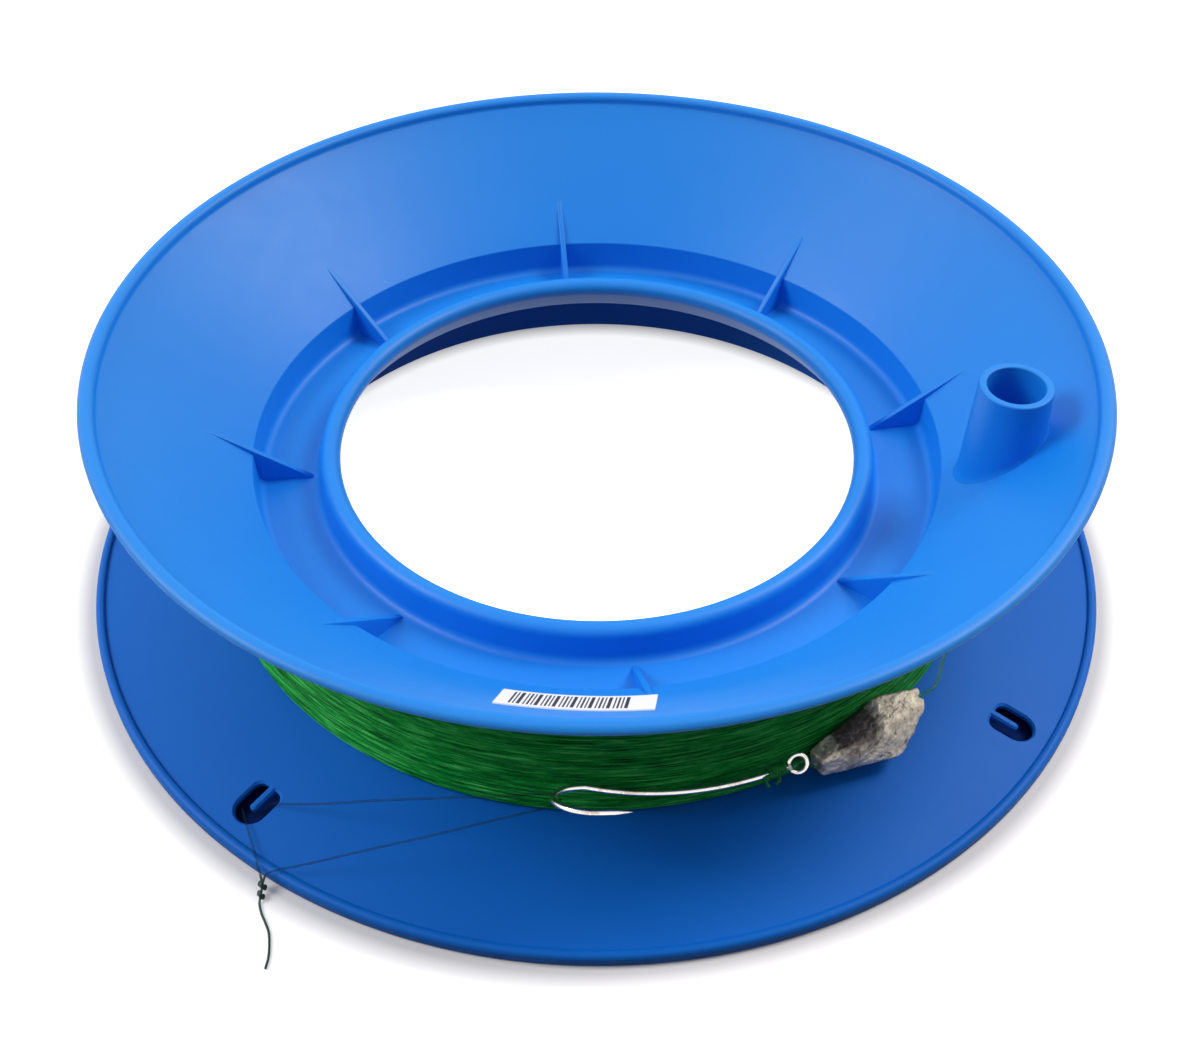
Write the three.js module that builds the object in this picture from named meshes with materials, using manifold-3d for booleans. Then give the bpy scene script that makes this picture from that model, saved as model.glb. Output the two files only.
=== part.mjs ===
// A hand caster: a wide open fishing line spool, wound with monofilament line that
// carries a cast lead sinker and a long shank hook, stowed for the tackle box.
//
// Millimetres, +Z up. The origin is on the spool's axis, in the plane that the rim of
// the base flange stands on. Azimuth 0 is +X, and the hook and sinker lie towards -Y.

import * as THREE from 'three';
import { ConvexGeometry } from 'three/addons/geometries/ConvexGeometry.js';
import { mergeVertices } from 'three/addons/utils/BufferGeometryUtils.js';
import Module from 'manifold-3d';

const wasm = await Module();
wasm.setup();

// ---- clearances and facets ----
const seatGap = 0.3;            // between pieces that touch
const runGap = 0.35;            // round a line that runs through a hole
const turnSteps = 64;           // facets round both mouldings and the line core

// ---- casting flange: the cone that the line is thrown off, and the grip ring ----
const castingRimRadius = 101.6;
const castingRimHeight = 55.6;  // crown of the rim bead above the standing plane
const castingBeadWidth = 3.3;
const castingBeadRise = 1.0;    // bead crown above the cone surface
const castingWall = 1.5;
const coneSlope = 0.849;        // rise over run of the cone
const coneRun = 29.8;           // rim to the cone's inner lip, along the radius
const troughWidth = 13.8;       // the cone's lip to the grip ring
const troughDepth = 7.4;        // lip of the cone to the trough floor
const troughDraft = 0.6;
const troughFillet = 1.8;
const gripRingWidth = 4.2;
const gripRingDrop = 0.1;       // crown of the grip ring above the cone's lip

const ribAzimuths = [9.8, 53.0, 96.8, 140.9, 185.8, 231.1, 276.9, 322.5];
const ribThickness = 1.2;
const ribReach = 8.1;           // outer tip beyond the trough lip
const ribToe = 2.0;             // inner end short of the grip ring
const ribSlope = 0.71;

// ---- winding tube: the hollow peg on the cone that a finger or stick turns ----
const tubeInset = 19.2;         // its axis inside the rim
const tubeAzimuth = -11.3;
const tubeProud = 0.9;          // its end above the rim bead
const tubeRadius = 7.2;
const tubeBore = 5.7;
const tubeTaper = 0.045;        // draft of its outside

// ---- base flange with the drum that the line is wound on ----
const baseRimRadius = 108.6;
const baseWall = 1.6;
const baseSlope = 0.1495;       // fall over run towards the rim
const baseBeadWidth = 2.0;
const baseBeadRise = 0.8;
const baseFootWidth = 1.9;
const baseFootDrop = 0.5;       // foot of the rim below the flange's underside
const drumWall = 1.5;

const slotInset = 9.4;          // middle of a slot inside the rim
const slotLength = 8.6;
const slotWidth = 6.6;
const slotAzimuths = [-130.1, -34.2, 49.9, 145.8];
const tongueLength = 5.5;
const tongueWidth = 1.6;

// ---- line ----
const packDepth = 4.9;          // drum to the centre line of the outermost turns
const lineDiameter = 0.7;
const turnCount = 24;
const stepsPerTurn = 24;
const windingSides = 6;
const windingEntryAzimuth = 97;
const windingEntryBend = 1.6;
const windingExitAzimuth = 4;
const cordSides = 8;
const leaderSteps = 60;
// The climb over the turns: azimuth in degrees, rise above the pack, height.
const leaderClimb = [
  [-5.3, 1.05, 7.1], [-10, 1.15, 8.5], [-15, 1.2, 10.3], [-20, 1.25, 12.0],
  [-25, 1.4, 13.3], [-29, 1.9, 14.1], [-33, 2.8, 14.6], [-37, 4.1, 14.9],
];

// ---- tether: a loop from the hook's bend to a clip slot, knotted beyond the rim ----
const tetherDiameter = 0.46;
const tetherSteps = 80;
const tetherKnotTop = new THREE.Vector3(-60.25, -92.3, 2.15);
const tetherKnotAxis = new THREE.Vector3(-0.07, -0.9, -0.43).normalize();
const tetherKnotLength = 3.4;
const tetherKnotRadius = 0.8;

// ---- hook ----
const hookWire = 1.15;
const hookShank = 39.85;        // eye centre to the start of the bend
const hookBendRadius = 6.9;
const hookArm = 5.8;            // end of the bend to the point
const hookBow = 3.0;            // how far the shank is sprung round the pack
const hookBowSpan = 20;
const hookBarbPosition = 0.6;
const hookEyeRadius = 1.75;     // centre line of the ring
const hookEyeWire = 0.9;
const hookContact = 26.0;       // eye centre to where the shank lies on the pack
const hookContactAzimuth = -81.9;
const hookContactHeight = 13.3;
const hookTilt = 8.1;           // degrees that the shank climbs towards the bend
const hookTurn = 33.5;          // degrees that the bend stands up from level
const hookStandOff = 0.8;       // its knot holds the shank this far off the pack
const knotLength = 4.4;
const knotRadius = 1.45;
const knotFromEye = 3.0;
const snellSteps = 8;           // of the line's run from the eye to the knot

// ---- sinker: rough cast lead, bored for the line ----
const sinkerAzimuth = -60.7;    // where its nose lies
const sinkerStandOff = 4.17;    // centre line of the turns to its bore, at the nose
const sinkerNoseHeight = 11.8;
const sinkerAxis = new THREE.Vector3(0.809, 0.576, 0.109).normalize();
const sinkerLength = 26.2;
const sinkerDepth = 9.0;        // away from the pack
const sinkerHeight = 10.2;
const sinkerBack = 3.0;         // bore to the face that lies on the pack
const sinkerNoseSize = 4.8;

// ---- sticker ----
const labelWidth = 26.8;
const labelHeight = 14.8;
const labelThickness = 0.2;
const labelAzimuth = -92.2;
const labelInset = 17.2;        // its middle inside the rim
const labelTurn = 2.4;

// ---- values that follow from them ----
const deg = Math.PI / 180;
const lineRadius = lineDiameter / 2;
const tetherRadius = tetherDiameter / 2;
const coneTilt = Math.atan(coneSlope);
const coneWallDrop = castingWall / Math.cos(coneTilt);
const coneBeadRadius = castingRimRadius - castingBeadWidth;
const coneTopHeight = castingRimHeight - castingBeadRise - coneSlope * castingBeadWidth / 3;
const coneHeight = r => coneTopHeight + (r - coneBeadRadius) * coneSlope;
const coneUnderside = r => coneHeight(r) - coneWallDrop;
const troughLipRadius = castingRimRadius - coneRun;
const gripRingOuter = troughLipRadius - troughWidth;
const gripRingBore = gripRingOuter - gripRingWidth;
const lipHeight = coneHeight(troughLipRadius);
const troughFloor = lipHeight - troughDepth;
const troughOuterWall = troughLipRadius + castingWall;
const gripCrown = lipHeight + gripRingDrop;
const tubeOrbit = castingRimRadius - tubeInset;
const labelRadius = castingRimRadius - labelInset;
const baseWallDrop = baseWall / Math.cos(Math.atan(baseSlope));
const baseFlangeEdge = baseRimRadius - baseBeadWidth;
const baseEdgeHeight = baseFootDrop + baseWallDrop;
const baseHeight = r => baseEdgeHeight + (baseFlangeEdge - r) * baseSlope;
const slotCentreRadius = baseRimRadius - slotInset;
const drumBore = troughOuterWall + seatGap;
const drumRadius = drumBore + drumWall;
const packRadius = drumRadius + packDepth;
const windingInner = packRadius * Math.cos(Math.PI / stepsPerTurn);
const packCoreRadius = windingInner - lineRadius - seatGap;
const sinkerNose = ring(sinkerAzimuth, packRadius + sinkerStandOff, sinkerNoseHeight);
const windingStart = windingEntryAzimuth - windingEntryBend / packRadius / deg;
const windingTurns = turnCount - 1 + (windingStart - windingExitAzimuth) / 360;
const windingPitch = (packTop() - packBottom()) / windingTurns;

function packBottom() {
  return baseHeight(windingInner) + seatGap + lineRadius;
}

function packTop() {
  const entry = packRadius - windingEntryBend - lineDiameter;
  return coneUnderside(entry) - (seatGap + lineRadius) / Math.cos(coneTilt);
}

// ---- helpers ----
function ring(azimuth, radius, height) {
  const a = azimuth * deg;
  return new THREE.Vector3(radius * Math.cos(a), radius * Math.sin(a), height);
}

function arcPoints(r, z, radius, from, to, steps) {
  const points = [];
  for (let i = 0; i <= steps; i += 1) {
    const a = (from + (to - from) * i / steps) * deg;
    points.push([r + radius * Math.cos(a), z + radius * Math.sin(a)]);
  }
  return points;
}

function revolve(profile) {
  const outline = [...profile, profile[0]].map(([r, z]) => new THREE.Vector2(r, z));
  return new THREE.LatheGeometry(outline, turnSteps).rotateX(Math.PI / 2);
}

function solid(geometry) {
  const bare = geometry.index ? geometry.clone() : mergeVertices(geometry.clone());
  bare.deleteAttribute('normal');
  bare.deleteAttribute('uv');
  const merged = mergeVertices(bare, 1e-4);
  const triVerts = new Uint32Array(merged.index.array);
  const made = new wasm.Manifold(new wasm.Mesh({
    numProp: 3,
    vertProperties: new Float32Array(merged.attributes.position.array),
    triVerts,
  }));
  if (made.volume() > 0) return made;
  for (let i = 0; i < triVerts.length; i += 3) {
    [triVerts[i], triVerts[i + 1]] = [triVerts[i + 1], triVerts[i]];
  }
  return new wasm.Manifold(new wasm.Mesh({
    numProp: 3,
    vertProperties: new Float32Array(merged.attributes.position.array),
    triVerts,
  }));
}

function geometryOf(manifold) {
  const mesh = manifold.getMesh();
  const geometry = new THREE.BufferGeometry();
  geometry.setAttribute('position', new THREE.BufferAttribute(mesh.vertProperties, 3));
  geometry.setIndex(new THREE.BufferAttribute(mesh.triVerts, 1));
  geometry.computeVertexNormals();
  return geometry;
}

// A closed tube through the given centres, with a radius of its own at each of them.
function sweep(centres, radii, sides) {
  const count = centres.length;
  const positions = [];
  const index = [];
  const tangent = i => centres[Math.min(i + 1, count - 1)].clone()
    .sub(centres[Math.max(i - 1, 0)]).normalize();
  let across = new THREE.Vector3(0, 0, 1);
  for (let i = 0; i < count; i += 1) {
    const along = tangent(i);
    across = across.clone().addScaledVector(along, -across.dot(along)).normalize();
    const other = along.clone().cross(across);
    for (let s = 0; s < sides; s += 1) {
      const a = 2 * Math.PI * s / sides;
      const point = centres[i].clone()
        .addScaledVector(across, radii[i] * Math.cos(a))
        .addScaledVector(other, radii[i] * Math.sin(a));
      positions.push(point.x, point.y, point.z);
    }
  }
  for (let i = 0; i < count - 1; i += 1) {
    for (let s = 0; s < sides; s += 1) {
      const a = i * sides + s;
      const b = i * sides + (s + 1) % sides;
      index.push(a, b, b + sides, a, b + sides, a + sides);
    }
  }
  const last = (count - 1) * sides;
  for (let s = 1; s < sides - 1; s += 1) {
    index.push(0, s + 1, s, last, last + s, last + s + 1);
  }
  const geometry = new THREE.BufferGeometry();
  geometry.setAttribute('position', new THREE.Float32BufferAttribute(positions, 3));
  geometry.setIndex(index);
  geometry.computeVertexNormals();
  return geometry;
}

// A smooth curve whose steps fall evenly between its points, so bends get the most.
class CordCurve extends THREE.CatmullRomCurve3 {
  constructor(points) {
    super(points, false, 'centripetal');
  }

  getPointAt(u, target) {
    return this.getPoint(u, target);
  }

  getTangentAt(u, target) {
    return this.getTangent(u, target);
  }
}

function cordTube(points, diameter, steps) {
  const section = new THREE.Shape();
  section.absarc(0, 0, diameter / 2, 0, 2 * Math.PI, false);
  return new THREE.ExtrudeGeometry(section, {
    steps,
    curveSegments: cordSides / 2,
    extrudePath: new CordCurve(points),
  });
}

function piece(name, geometry, material) {
  const mesh = new THREE.Mesh(geometry, material);
  mesh.name = name;
  return mesh;
}

// ---- casting flange ----
function castingShell() {
  const crown = gripRingWidth / 2;
  const underFloor = troughFloor - castingWall;
  const bead = castingRimHeight;
  const wallFoot = troughLipRadius - troughDraft;
  const ringFoot = gripRingOuter + troughDraft / 2;
  // The bend under the trough keeps the wall even, and the ring's inner face is the
  // straight line that touches both that bend and the crown.
  const bend = troughFillet + castingWall;
  const across = ringFoot + troughFillet - gripRingBore - crown;
  const down = gripCrown - crown - troughFloor - troughFillet;
  const spread = Math.acos((crown - bend) / Math.hypot(across, down));
  const face = 360 - (Math.atan2(down, across) + spread) / deg;
  return revolve([
    ...arcPoints(ringFoot + troughFillet, troughFloor + troughFillet, bend, 270, face, 3),
    ...arcPoints(gripRingBore + crown, gripCrown - crown, crown, face, 0, 8),
    ...arcPoints(ringFoot + troughFillet, troughFloor + troughFillet, troughFillet, 180, 270, 3),
    ...arcPoints(wallFoot - troughFillet, troughFloor + troughFillet, troughFillet, 270, 360, 3),
    [troughLipRadius - 0.3, lipHeight - 0.5],
    [troughLipRadius + 0.2, lipHeight + 0.2],
    [coneBeadRadius, coneTopHeight],
    [coneBeadRadius + 0.25, bead - 0.6],
    [coneBeadRadius + 0.8, bead - 0.12],
    [coneBeadRadius + castingBeadWidth * 0.5, bead],
    [castingRimRadius - 0.6, bead - 0.25],
    [castingRimRadius, bead - 1.0],
    [castingRimRadius - 0.5, bead - 1.9],
    [castingRimRadius - 1.4, bead - 2.5],
    [castingRimRadius - 2.6, coneUnderside(castingRimRadius - 2.6)],
    [troughOuterWall, coneUnderside(troughOuterWall)],
    [troughOuterWall, underFloor + 1.2],
    [troughOuterWall - 0.4, underFloor + 0.4],
    [troughOuterWall - 1.2, underFloor],
  ]);
}

function ribBlade(azimuth) {
  const tip = troughLipRadius + ribReach;
  const tipHeight = coneHeight(tip);
  const wallMiddle = castingWall / 2;
  const inner = gripRingOuter + ribToe;
  const blade = new THREE.Shape([
    new THREE.Vector2(tip, tipHeight),
    new THREE.Vector2(inner, tipHeight - (tip - inner) * ribSlope),
    new THREE.Vector2(inner, troughFloor - wallMiddle),
    new THREE.Vector2(troughLipRadius, troughFloor - wallMiddle),
    new THREE.Vector2(troughLipRadius + wallMiddle, lipHeight - wallMiddle),
    new THREE.Vector2(tip, tipHeight - wallMiddle),
  ]);
  return new THREE.ExtrudeGeometry(blade, { depth: ribThickness, bevelEnabled: false })
    .translate(0, 0, -ribThickness / 2)
    .rotateX(Math.PI / 2)
    .rotateZ(azimuth * deg);
}

function windingTube() {
  const top = castingRimHeight + tubeProud;
  const bottom = lipHeight - castingWall;
  const height = top - bottom;
  const place = g => g.rotateX(Math.PI / 2)
    .translate(tubeOrbit, 0, bottom + height / 2)
    .rotateZ(tubeAzimuth * deg);
  const footRadius = tubeRadius + tubeTaper * height;
  const outside = solid(place(new THREE.CylinderGeometry(tubeRadius, footRadius, height, 32)));
  const bore = solid(place(new THREE.CylinderGeometry(tubeBore, tubeBore, height + 2, 24)));
  const middle = r => coneHeight(r) - coneWallDrop / 2;
  const wallMiddle = troughLipRadius + castingWall / 2;
  const belowCone = solid(revolve([
    [gripRingBore, 0],
    [castingRimRadius, 0],
    [castingRimRadius, middle(castingRimRadius)],
    [wallMiddle, middle(wallMiddle)],
    [wallMiddle, top + 1],
    [gripRingBore, top + 1],
  ]));
  return outside.subtract(bore).subtract(belowCone);
}

function castingFlange() {
  let body = solid(castingShell());
  for (const azimuth of ribAzimuths) body = body.add(solid(ribBlade(azimuth)));
  return geometryOf(body.add(windingTube()));
}

// ---- base flange ----
function baseShell() {
  const under = r => baseHeight(r) - baseWallDrop;
  const edge = baseFlangeEdge;
  const crown = baseHeight(edge) + baseBeadRise;
  const seat = r => coneUnderside(r) - seatGap / Math.cos(coneTilt);
  const footInner = baseRimRadius - 0.5 - baseFootWidth;
  return revolve([
    [drumBore, under(drumBore)],
    [drumBore, seat(drumBore)],
    [drumRadius, seat(drumRadius)],
    [drumRadius, baseHeight(drumRadius)],
    [edge, baseHeight(edge)],
    [edge + 0.3, crown - 0.15],
    [edge + baseBeadWidth * 0.5, crown],
    [baseRimRadius - 0.3, crown - 0.3],
    [baseRimRadius, crown - 0.8],
    [baseRimRadius, 0.5],
    [baseRimRadius - 0.5, 0],
    [footInner, 0],
    [footInner - 0.4, under(footInner - 0.4)],
  ]);
}

// A rounded hole with a tongue left standing in it, under which a line is clipped.
function clipSlot(azimuth) {
  const half = slotWidth / 2;
  const tongue = tongueWidth / 2;
  const hole = new THREE.Shape();
  hole.moveTo(0, tongue);
  hole.lineTo(0, half - 0.6);
  hole.lineTo(0.6, half);
  hole.lineTo(slotLength - half, half);
  hole.absarc(slotLength - half, 0, half, Math.PI / 2, -Math.PI / 2, true);
  hole.lineTo(0.6, -half);
  hole.lineTo(0, 0.6 - half);
  hole.lineTo(0, -tongue);
  hole.lineTo(tongueLength - tongue, -tongue);
  hole.absarc(tongueLength - tongue, 0, tongue, -Math.PI / 2, Math.PI / 2, false);
  hole.lineTo(0, tongue);
  const depth = 2 * baseHeight(drumRadius);
  return new THREE.ExtrudeGeometry(hole, { depth, bevelEnabled: false, curveSegments: 7 })
    .translate(slotCentreRadius - slotLength / 2, 0, -depth / 2)
    .rotateZ(azimuth * deg);
}

function baseFlange() {
  let body = solid(baseShell());
  for (const azimuth of slotAzimuths) body = body.subtract(solid(clipSlot(azimuth)));
  return geometryOf(body);
}

// ---- line ----
// The outer layer comes out of the core by a short radial run, turns with a small bend,
// winds down the pack and leaves it along a tangent.
function windingCentres() {
  const centres = [];
  const bend = windingEntryBend;
  const outward = ring(windingEntryAzimuth, 1, 0);
  const onward = ring(windingEntryAzimuth - 90, 1, 0);
  const put = (out, on) => centres.push(outward.clone().multiplyScalar(out)
    .addScaledVector(onward, on).setZ(packTop()));
  put(packRadius - bend - lineDiameter, 0);
  for (let i = 0; i <= 4; i += 1) {
    const a = Math.PI / 2 * i / 4;
    put(packRadius - bend + bend * Math.sin(a), bend * (1 - Math.cos(a)));
  }
  const steps = Math.round(windingTurns * stepsPerTurn);
  for (let i = 1; i <= steps; i += 1) {
    const turned = windingTurns * i / steps;
    centres.push(ring(windingStart - 360 * turned, packRadius, packTop() - windingPitch * turned));
  }
  centres.push(windingExit(lineDiameter));
  return centres;
}

// A point on the tangent by which the line leaves the pack.
function windingExit(distance) {
  return ring(windingExitAzimuth, packRadius, packBottom())
    .addScaledVector(ring(windingExitAzimuth - 90, 1, 0), distance);
}

// The least distance between the surfaces of neighbouring turns.
function leastGap(centres, diameter) {
  let least = Infinity;
  const apart = Math.ceil(stepsPerTurn / 2);
  for (let i = 0; i < centres.length; i += 1) {
    for (let j = i + apart; j < centres.length - 1; j += 1) {
      if (Math.abs(centres[i].z - centres[j].z) > 2 * windingPitch) break;
      const span = new THREE.Line3(centres[j], centres[j + 1]);
      const near = span.closestPointToPoint(centres[i], true, new THREE.Vector3());
      least = Math.min(least, near.distanceTo(centres[i]) - diameter);
    }
  }
  return least;
}

function lineWinding() {
  const centres = windingCentres();
  console.log('line_winding: least gap to itself', leastGap(centres, lineDiameter).toFixed(2), 'mm');
  return sweep(centres, centres.map(() => lineRadius), windingSides);
}

// The wound line inside the outer layer, with a pocket where that layer comes out of it.
function lineCore() {
  const inner = drumRadius + seatGap;
  const upper = r => coneUnderside(r) - seatGap / Math.cos(coneTilt);
  const lower = r => baseHeight(r) + seatGap;
  const body = solid(revolve([
    [inner, lower(inner)],
    [inner, upper(inner)],
    [packCoreRadius, upper(packCoreRadius)],
    [packCoreRadius, lower(packCoreRadius)],
  ]));
  const width = lineDiameter + 2 * (seatGap + 0.1);
  const floor = packRadius - windingEntryBend - lineDiameter - seatGap;
  const depth = packRadius - floor;
  const height = 4 * windingPitch;
  const pocket = new THREE.BoxGeometry(depth, width, height)
    .translate(floor + depth / 2, 0, packTop() + (height - width) / 2)
    .rotateZ(windingEntryAzimuth * deg);
  return geometryOf(body.subtract(solid(pocket)));
}

// From the pack, climbing over the turns, through the sinker and into the hook's eye.
function leaderPoints() {
  const climb = leaderClimb.map(([azimuth, rise, height]) =>
    ring(azimuth, packRadius + rise, height));
  const threaded = [29.4, 26, 20, 13, 6, 0, -0.5];
  const { at, along, gap, side } = hookFrame();
  const past = hookEyeWire / 2 + seatGap + lineRadius;
  const byEye = (a, g, s) => at(0).addScaledVector(along, a)
    .addScaledVector(gap, g).addScaledVector(side, s);
  return [
    windingExit(lineDiameter + seatGap),
    windingExit(6),
    ...climb,
    ...threaded.map(a => sinkerNose.clone().addScaledVector(sinkerAxis, a)),
    byEye(-hookEyeRadius - lineDiameter, -past, -lineDiameter),
    byEye(-0.7 * hookEyeRadius, -past, 0),
    byEye(-seatGap / 2, -seatGap / 2, 0),
  ];
}

// ---- hook ----
function hookFrame() {
  const azimuth = hookContactAzimuth * deg;
  const out = new THREE.Vector3(Math.cos(azimuth), Math.sin(azimuth), 0);
  const up = new THREE.Vector3(0, 0, 1);
  const round = new THREE.Vector3(out.y, -out.x, 0);
  const tilt = hookTilt * deg;
  const along = round.clone().multiplyScalar(Math.cos(tilt)).addScaledVector(up, Math.sin(tilt));
  const turn = hookTurn * deg;
  const gap = out.clone().multiplyScalar(Math.cos(turn)).addScaledVector(up, Math.sin(turn));
  gap.addScaledVector(along, -gap.dot(along)).normalize();
  const side = along.clone().cross(gap);
  const contact = out.clone()
    .multiplyScalar(packRadius + lineRadius + hookWire / 2 + hookStandOff)
    .setZ(hookContactHeight);
  const at = s => {
    const t = s - hookContact;
    return contact.clone().addScaledVector(along, t)
      .addScaledVector(side, hookBow * (t / hookBowSpan) ** 2);
  };
  return { along, gap, side, at };
}

function hookBody() {
  const { along, gap, at } = hookFrame();
  const centres = [];
  const radii = [];
  const wire = hookWire / 2;
  const put = (point, radius) => {
    centres.push(point);
    radii.push(radius);
  };
  for (let i = 0; i <= 16; i += 1) {
    put(at(hookEyeRadius + (hookShank - hookEyeRadius) * i / 16), wire);
  }
  const bendStart = at(hookShank);
  const bendCentre = bendStart.clone().addScaledVector(gap, hookBendRadius);
  for (let i = 1; i <= 14; i += 1) {
    const a = Math.PI * i / 14;
    put(bendCentre.clone().addScaledVector(gap, -hookBendRadius * Math.cos(a))
      .addScaledVector(along, hookBendRadius * Math.sin(a)), wire);
  }
  const armStart = centres[centres.length - 1];
  for (let i = 1; i <= 5; i += 1) {
    const part = i / 5;
    const taper = part < hookBarbPosition ? 1 - 0.2 * part : 0.88 - 1.9 * (part - hookBarbPosition);
    put(armStart.clone().addScaledVector(along, -hookArm * part), wire * Math.max(taper, 0.1));
  }
  const wireBody = solid(sweep(centres, radii, 10));
  const ringBody = new THREE.TorusGeometry(hookEyeRadius, hookEyeWire / 2, 8, 20);
  const turned = new THREE.Matrix4().makeBasis(along, along.clone().cross(gap), gap.clone().negate());
  ringBody.applyMatrix4(turned);
  const centre = at(0);
  ringBody.translate(centre.x, centre.y, centre.z);
  const barbRoot = armStart.clone().addScaledVector(along, -hookArm * hookBarbPosition);
  const barb = sweep([
    barbRoot.clone().addScaledVector(gap, -wire * 0.2),
    barbRoot.clone().addScaledVector(gap, -wire * 1.3).addScaledVector(along, 1.5),
    barbRoot.clone().addScaledVector(gap, -wire * 1.9).addScaledVector(along, 2.2),
  ], [wire * 0.6, wire * 0.4, wire * 0.12], 6);
  return geometryOf(wireBody.add(solid(ringBody)).add(solid(barb)));
}

// The snell: the line's turns round the shank, and its run to them from the eye.
function hookKnot() {
  const { at, gap } = hookFrame();
  const inner = hookWire / 2 + runGap;
  const outer = knotRadius;
  const profile = [
    [inner, 0], [outer - 0.35, 0], [outer, 0.4], [outer, knotLength - 0.8],
    [outer - 0.3, knotLength], [inner, knotLength],
  ];
  const outline = [...profile, profile[0]].map(([r, z]) => new THREE.Vector2(r, z));
  const barrel = new THREE.LatheGeometry(outline, 14);
  const start = at(knotFromEye);
  const end = at(knotFromEye + knotLength);
  const axis = end.clone().sub(start).normalize();
  const turn = new THREE.Quaternion().setFromUnitVectors(new THREE.Vector3(0, 1, 0), axis);
  barrel.applyQuaternion(turn).translate(start.x, start.y, start.z);
  const past = hookWire / 2 + seatGap + lineRadius;
  const beside = (s, g) => at(s).addScaledVector(gap, g);
  const run = [
    beside(seatGap / 2, seatGap / 2), beside(0.7 * hookEyeRadius, past),
    beside(knotFromEye - lineRadius, past), beside(knotFromEye + lineRadius, past),
  ];
  const lead = cordTube(run, lineDiameter, snellSteps);
  return geometryOf(solid(barrel).add(solid(lead)));
}

// ---- sinker ----
function sinkerBody() {
  const along = sinkerAxis;
  const out = new THREE.Vector3(along.y, -along.x, 0).normalize();
  const up = out.clone().cross(along);
  const nose = sinkerNoseSize / 2;
  const back = -sinkerBack;
  const front = sinkerDepth - sinkerBack;
  const low = -sinkerHeight / 2;
  const high = sinkerHeight / 2;
  const belly = sinkerLength * 0.6;
  const corners = [
    [0, -nose, -nose * 0.9], [0, nose * 0.65, -nose * 0.7],
    [0, nose * 0.55, nose * 1.2], [0, -nose, nose * 1.1],
    [belly, front, low * 0.9], [belly * 0.88, front * 0.55, high * 0.62],
    [belly * 1.05, back, high * 0.9], [belly, back, low], [belly * 1.4, front * 0.45, low * 0.8],
    [sinkerLength * 0.98, front * 0.3, -0.6], [sinkerLength, back * 0.4, high * 0.25],
    [sinkerLength * 0.93, back, low * 0.7],
  ];
  const points = corners.map(([a, o, u]) => sinkerNose.clone()
    .addScaledVector(along, a).addScaledVector(out, o).addScaledVector(up, u));
  const boreLength = sinkerLength + 4;
  const bore = new THREE.CylinderGeometry(lineRadius + runGap, lineRadius + runGap, boreLength, 10);
  bore.applyQuaternion(new THREE.Quaternion().setFromUnitVectors(new THREE.Vector3(0, 1, 0), along));
  const middle = sinkerNose.clone().addScaledVector(along, sinkerLength / 2);
  bore.translate(middle.x, middle.y, middle.z);
  return geometryOf(solid(new ConvexGeometry(points)).subtract(solid(bore)));
}

// ---- tether ----
// From the knot over the rim to the hook's bend, round it, back down through the clip
// slot, under its tongue, up again and over the rim to the knot.
function tetherPoints() {
  const { along, gap, side, at } = hookFrame();
  const apex = at(hookShank).addScaledVector(gap, hookBendRadius)
    .addScaledVector(along, hookBendRadius);
  const round = hookWire / 2 + runGap + tetherRadius;
  const byBend = (a, s) => apex.clone().addScaledVector(along, a).addScaledVector(side, s);
  const toHook = [
    [-59.85, -92.0, 2.95], [-59.1, -91.6, 3.4], [-57.9, -91.15, 3.55], [-52.0, -90.8, 5.1],
    [-41.0, -90.4, 8.8], [-30.0, -90.05, 12.4], [-19.0, -89.65, 16.3],
  ];
  const toSlot = [
    [-19.0, -85.6, 18.1], [-30.0, -83.3, 14.6], [-41.0, -81.0, 10.8], [-51.0, -78.9, 7.1],
    [-57.6, -77.5, 5.2], [-59.9, -76.85, 4.5], [-61.1, -76.45, 3.3], [-61.7, -76.25, 2.0],
    [-62.8, -76.1, 1.02], [-64.3, -76.0, 0.82], [-65.6, -76.2, 1.15], [-66.25, -76.8, 2.4],
    [-66.0, -77.8, 3.5],
    [-65.2, -79.9, 3.6], [-63.6, -84.0, 3.4], [-62.0, -88.2, 3.55], [-61.3, -90.3, 3.5],
    [-60.75, -91.5, 2.95],
  ];
  const points = rows => rows.map(row => new THREE.Vector3(...row));
  return [
    ...points(toHook),
    byBend(0.2, -round), byBend(-round * 0.75, -round * 0.7), byBend(-round, 0),
    byBend(-round * 0.75, round * 0.7), byBend(0.2, round),
    ...points(toSlot),
  ];
}

function tetherKnot() {
  const radius = tetherKnotRadius;
  const length = tetherKnotLength;
  const outline = [
    [0, 0], [radius * 0.85, 0.05], [radius, length * 0.2], [radius * 0.6, length * 0.45],
    [radius * 0.85, length * 0.72], [radius * 0.4, length], [0, length],
  ].map(([r, z]) => new THREE.Vector2(r, z));
  const bead = new THREE.LatheGeometry(outline, 10);
  const turn = new THREE.Quaternion();
  turn.setFromUnitVectors(new THREE.Vector3(0, 1, 0), tetherKnotAxis);
  return bead.applyQuaternion(turn).translate(...tetherKnotTop.toArray());
}

function tetherTailPoints() {
  const below = distance => tetherKnotTop.clone()
    .addScaledVector(tetherKnotAxis, tetherKnotLength + distance);
  const rest = [
    [-59.9, -98.0, 0.3], [-58.9, -100.0, 0.27], [-58.0, -102.0, 0.25],
    [-57.5, -104.6, 0.25], [-57.3, -107.0, 0.25], [-57.5, -109.3, 0.25],
  ];
  return [below(seatGap), below(0.9), ...rest.map(row => new THREE.Vector3(...row))];
}

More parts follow.
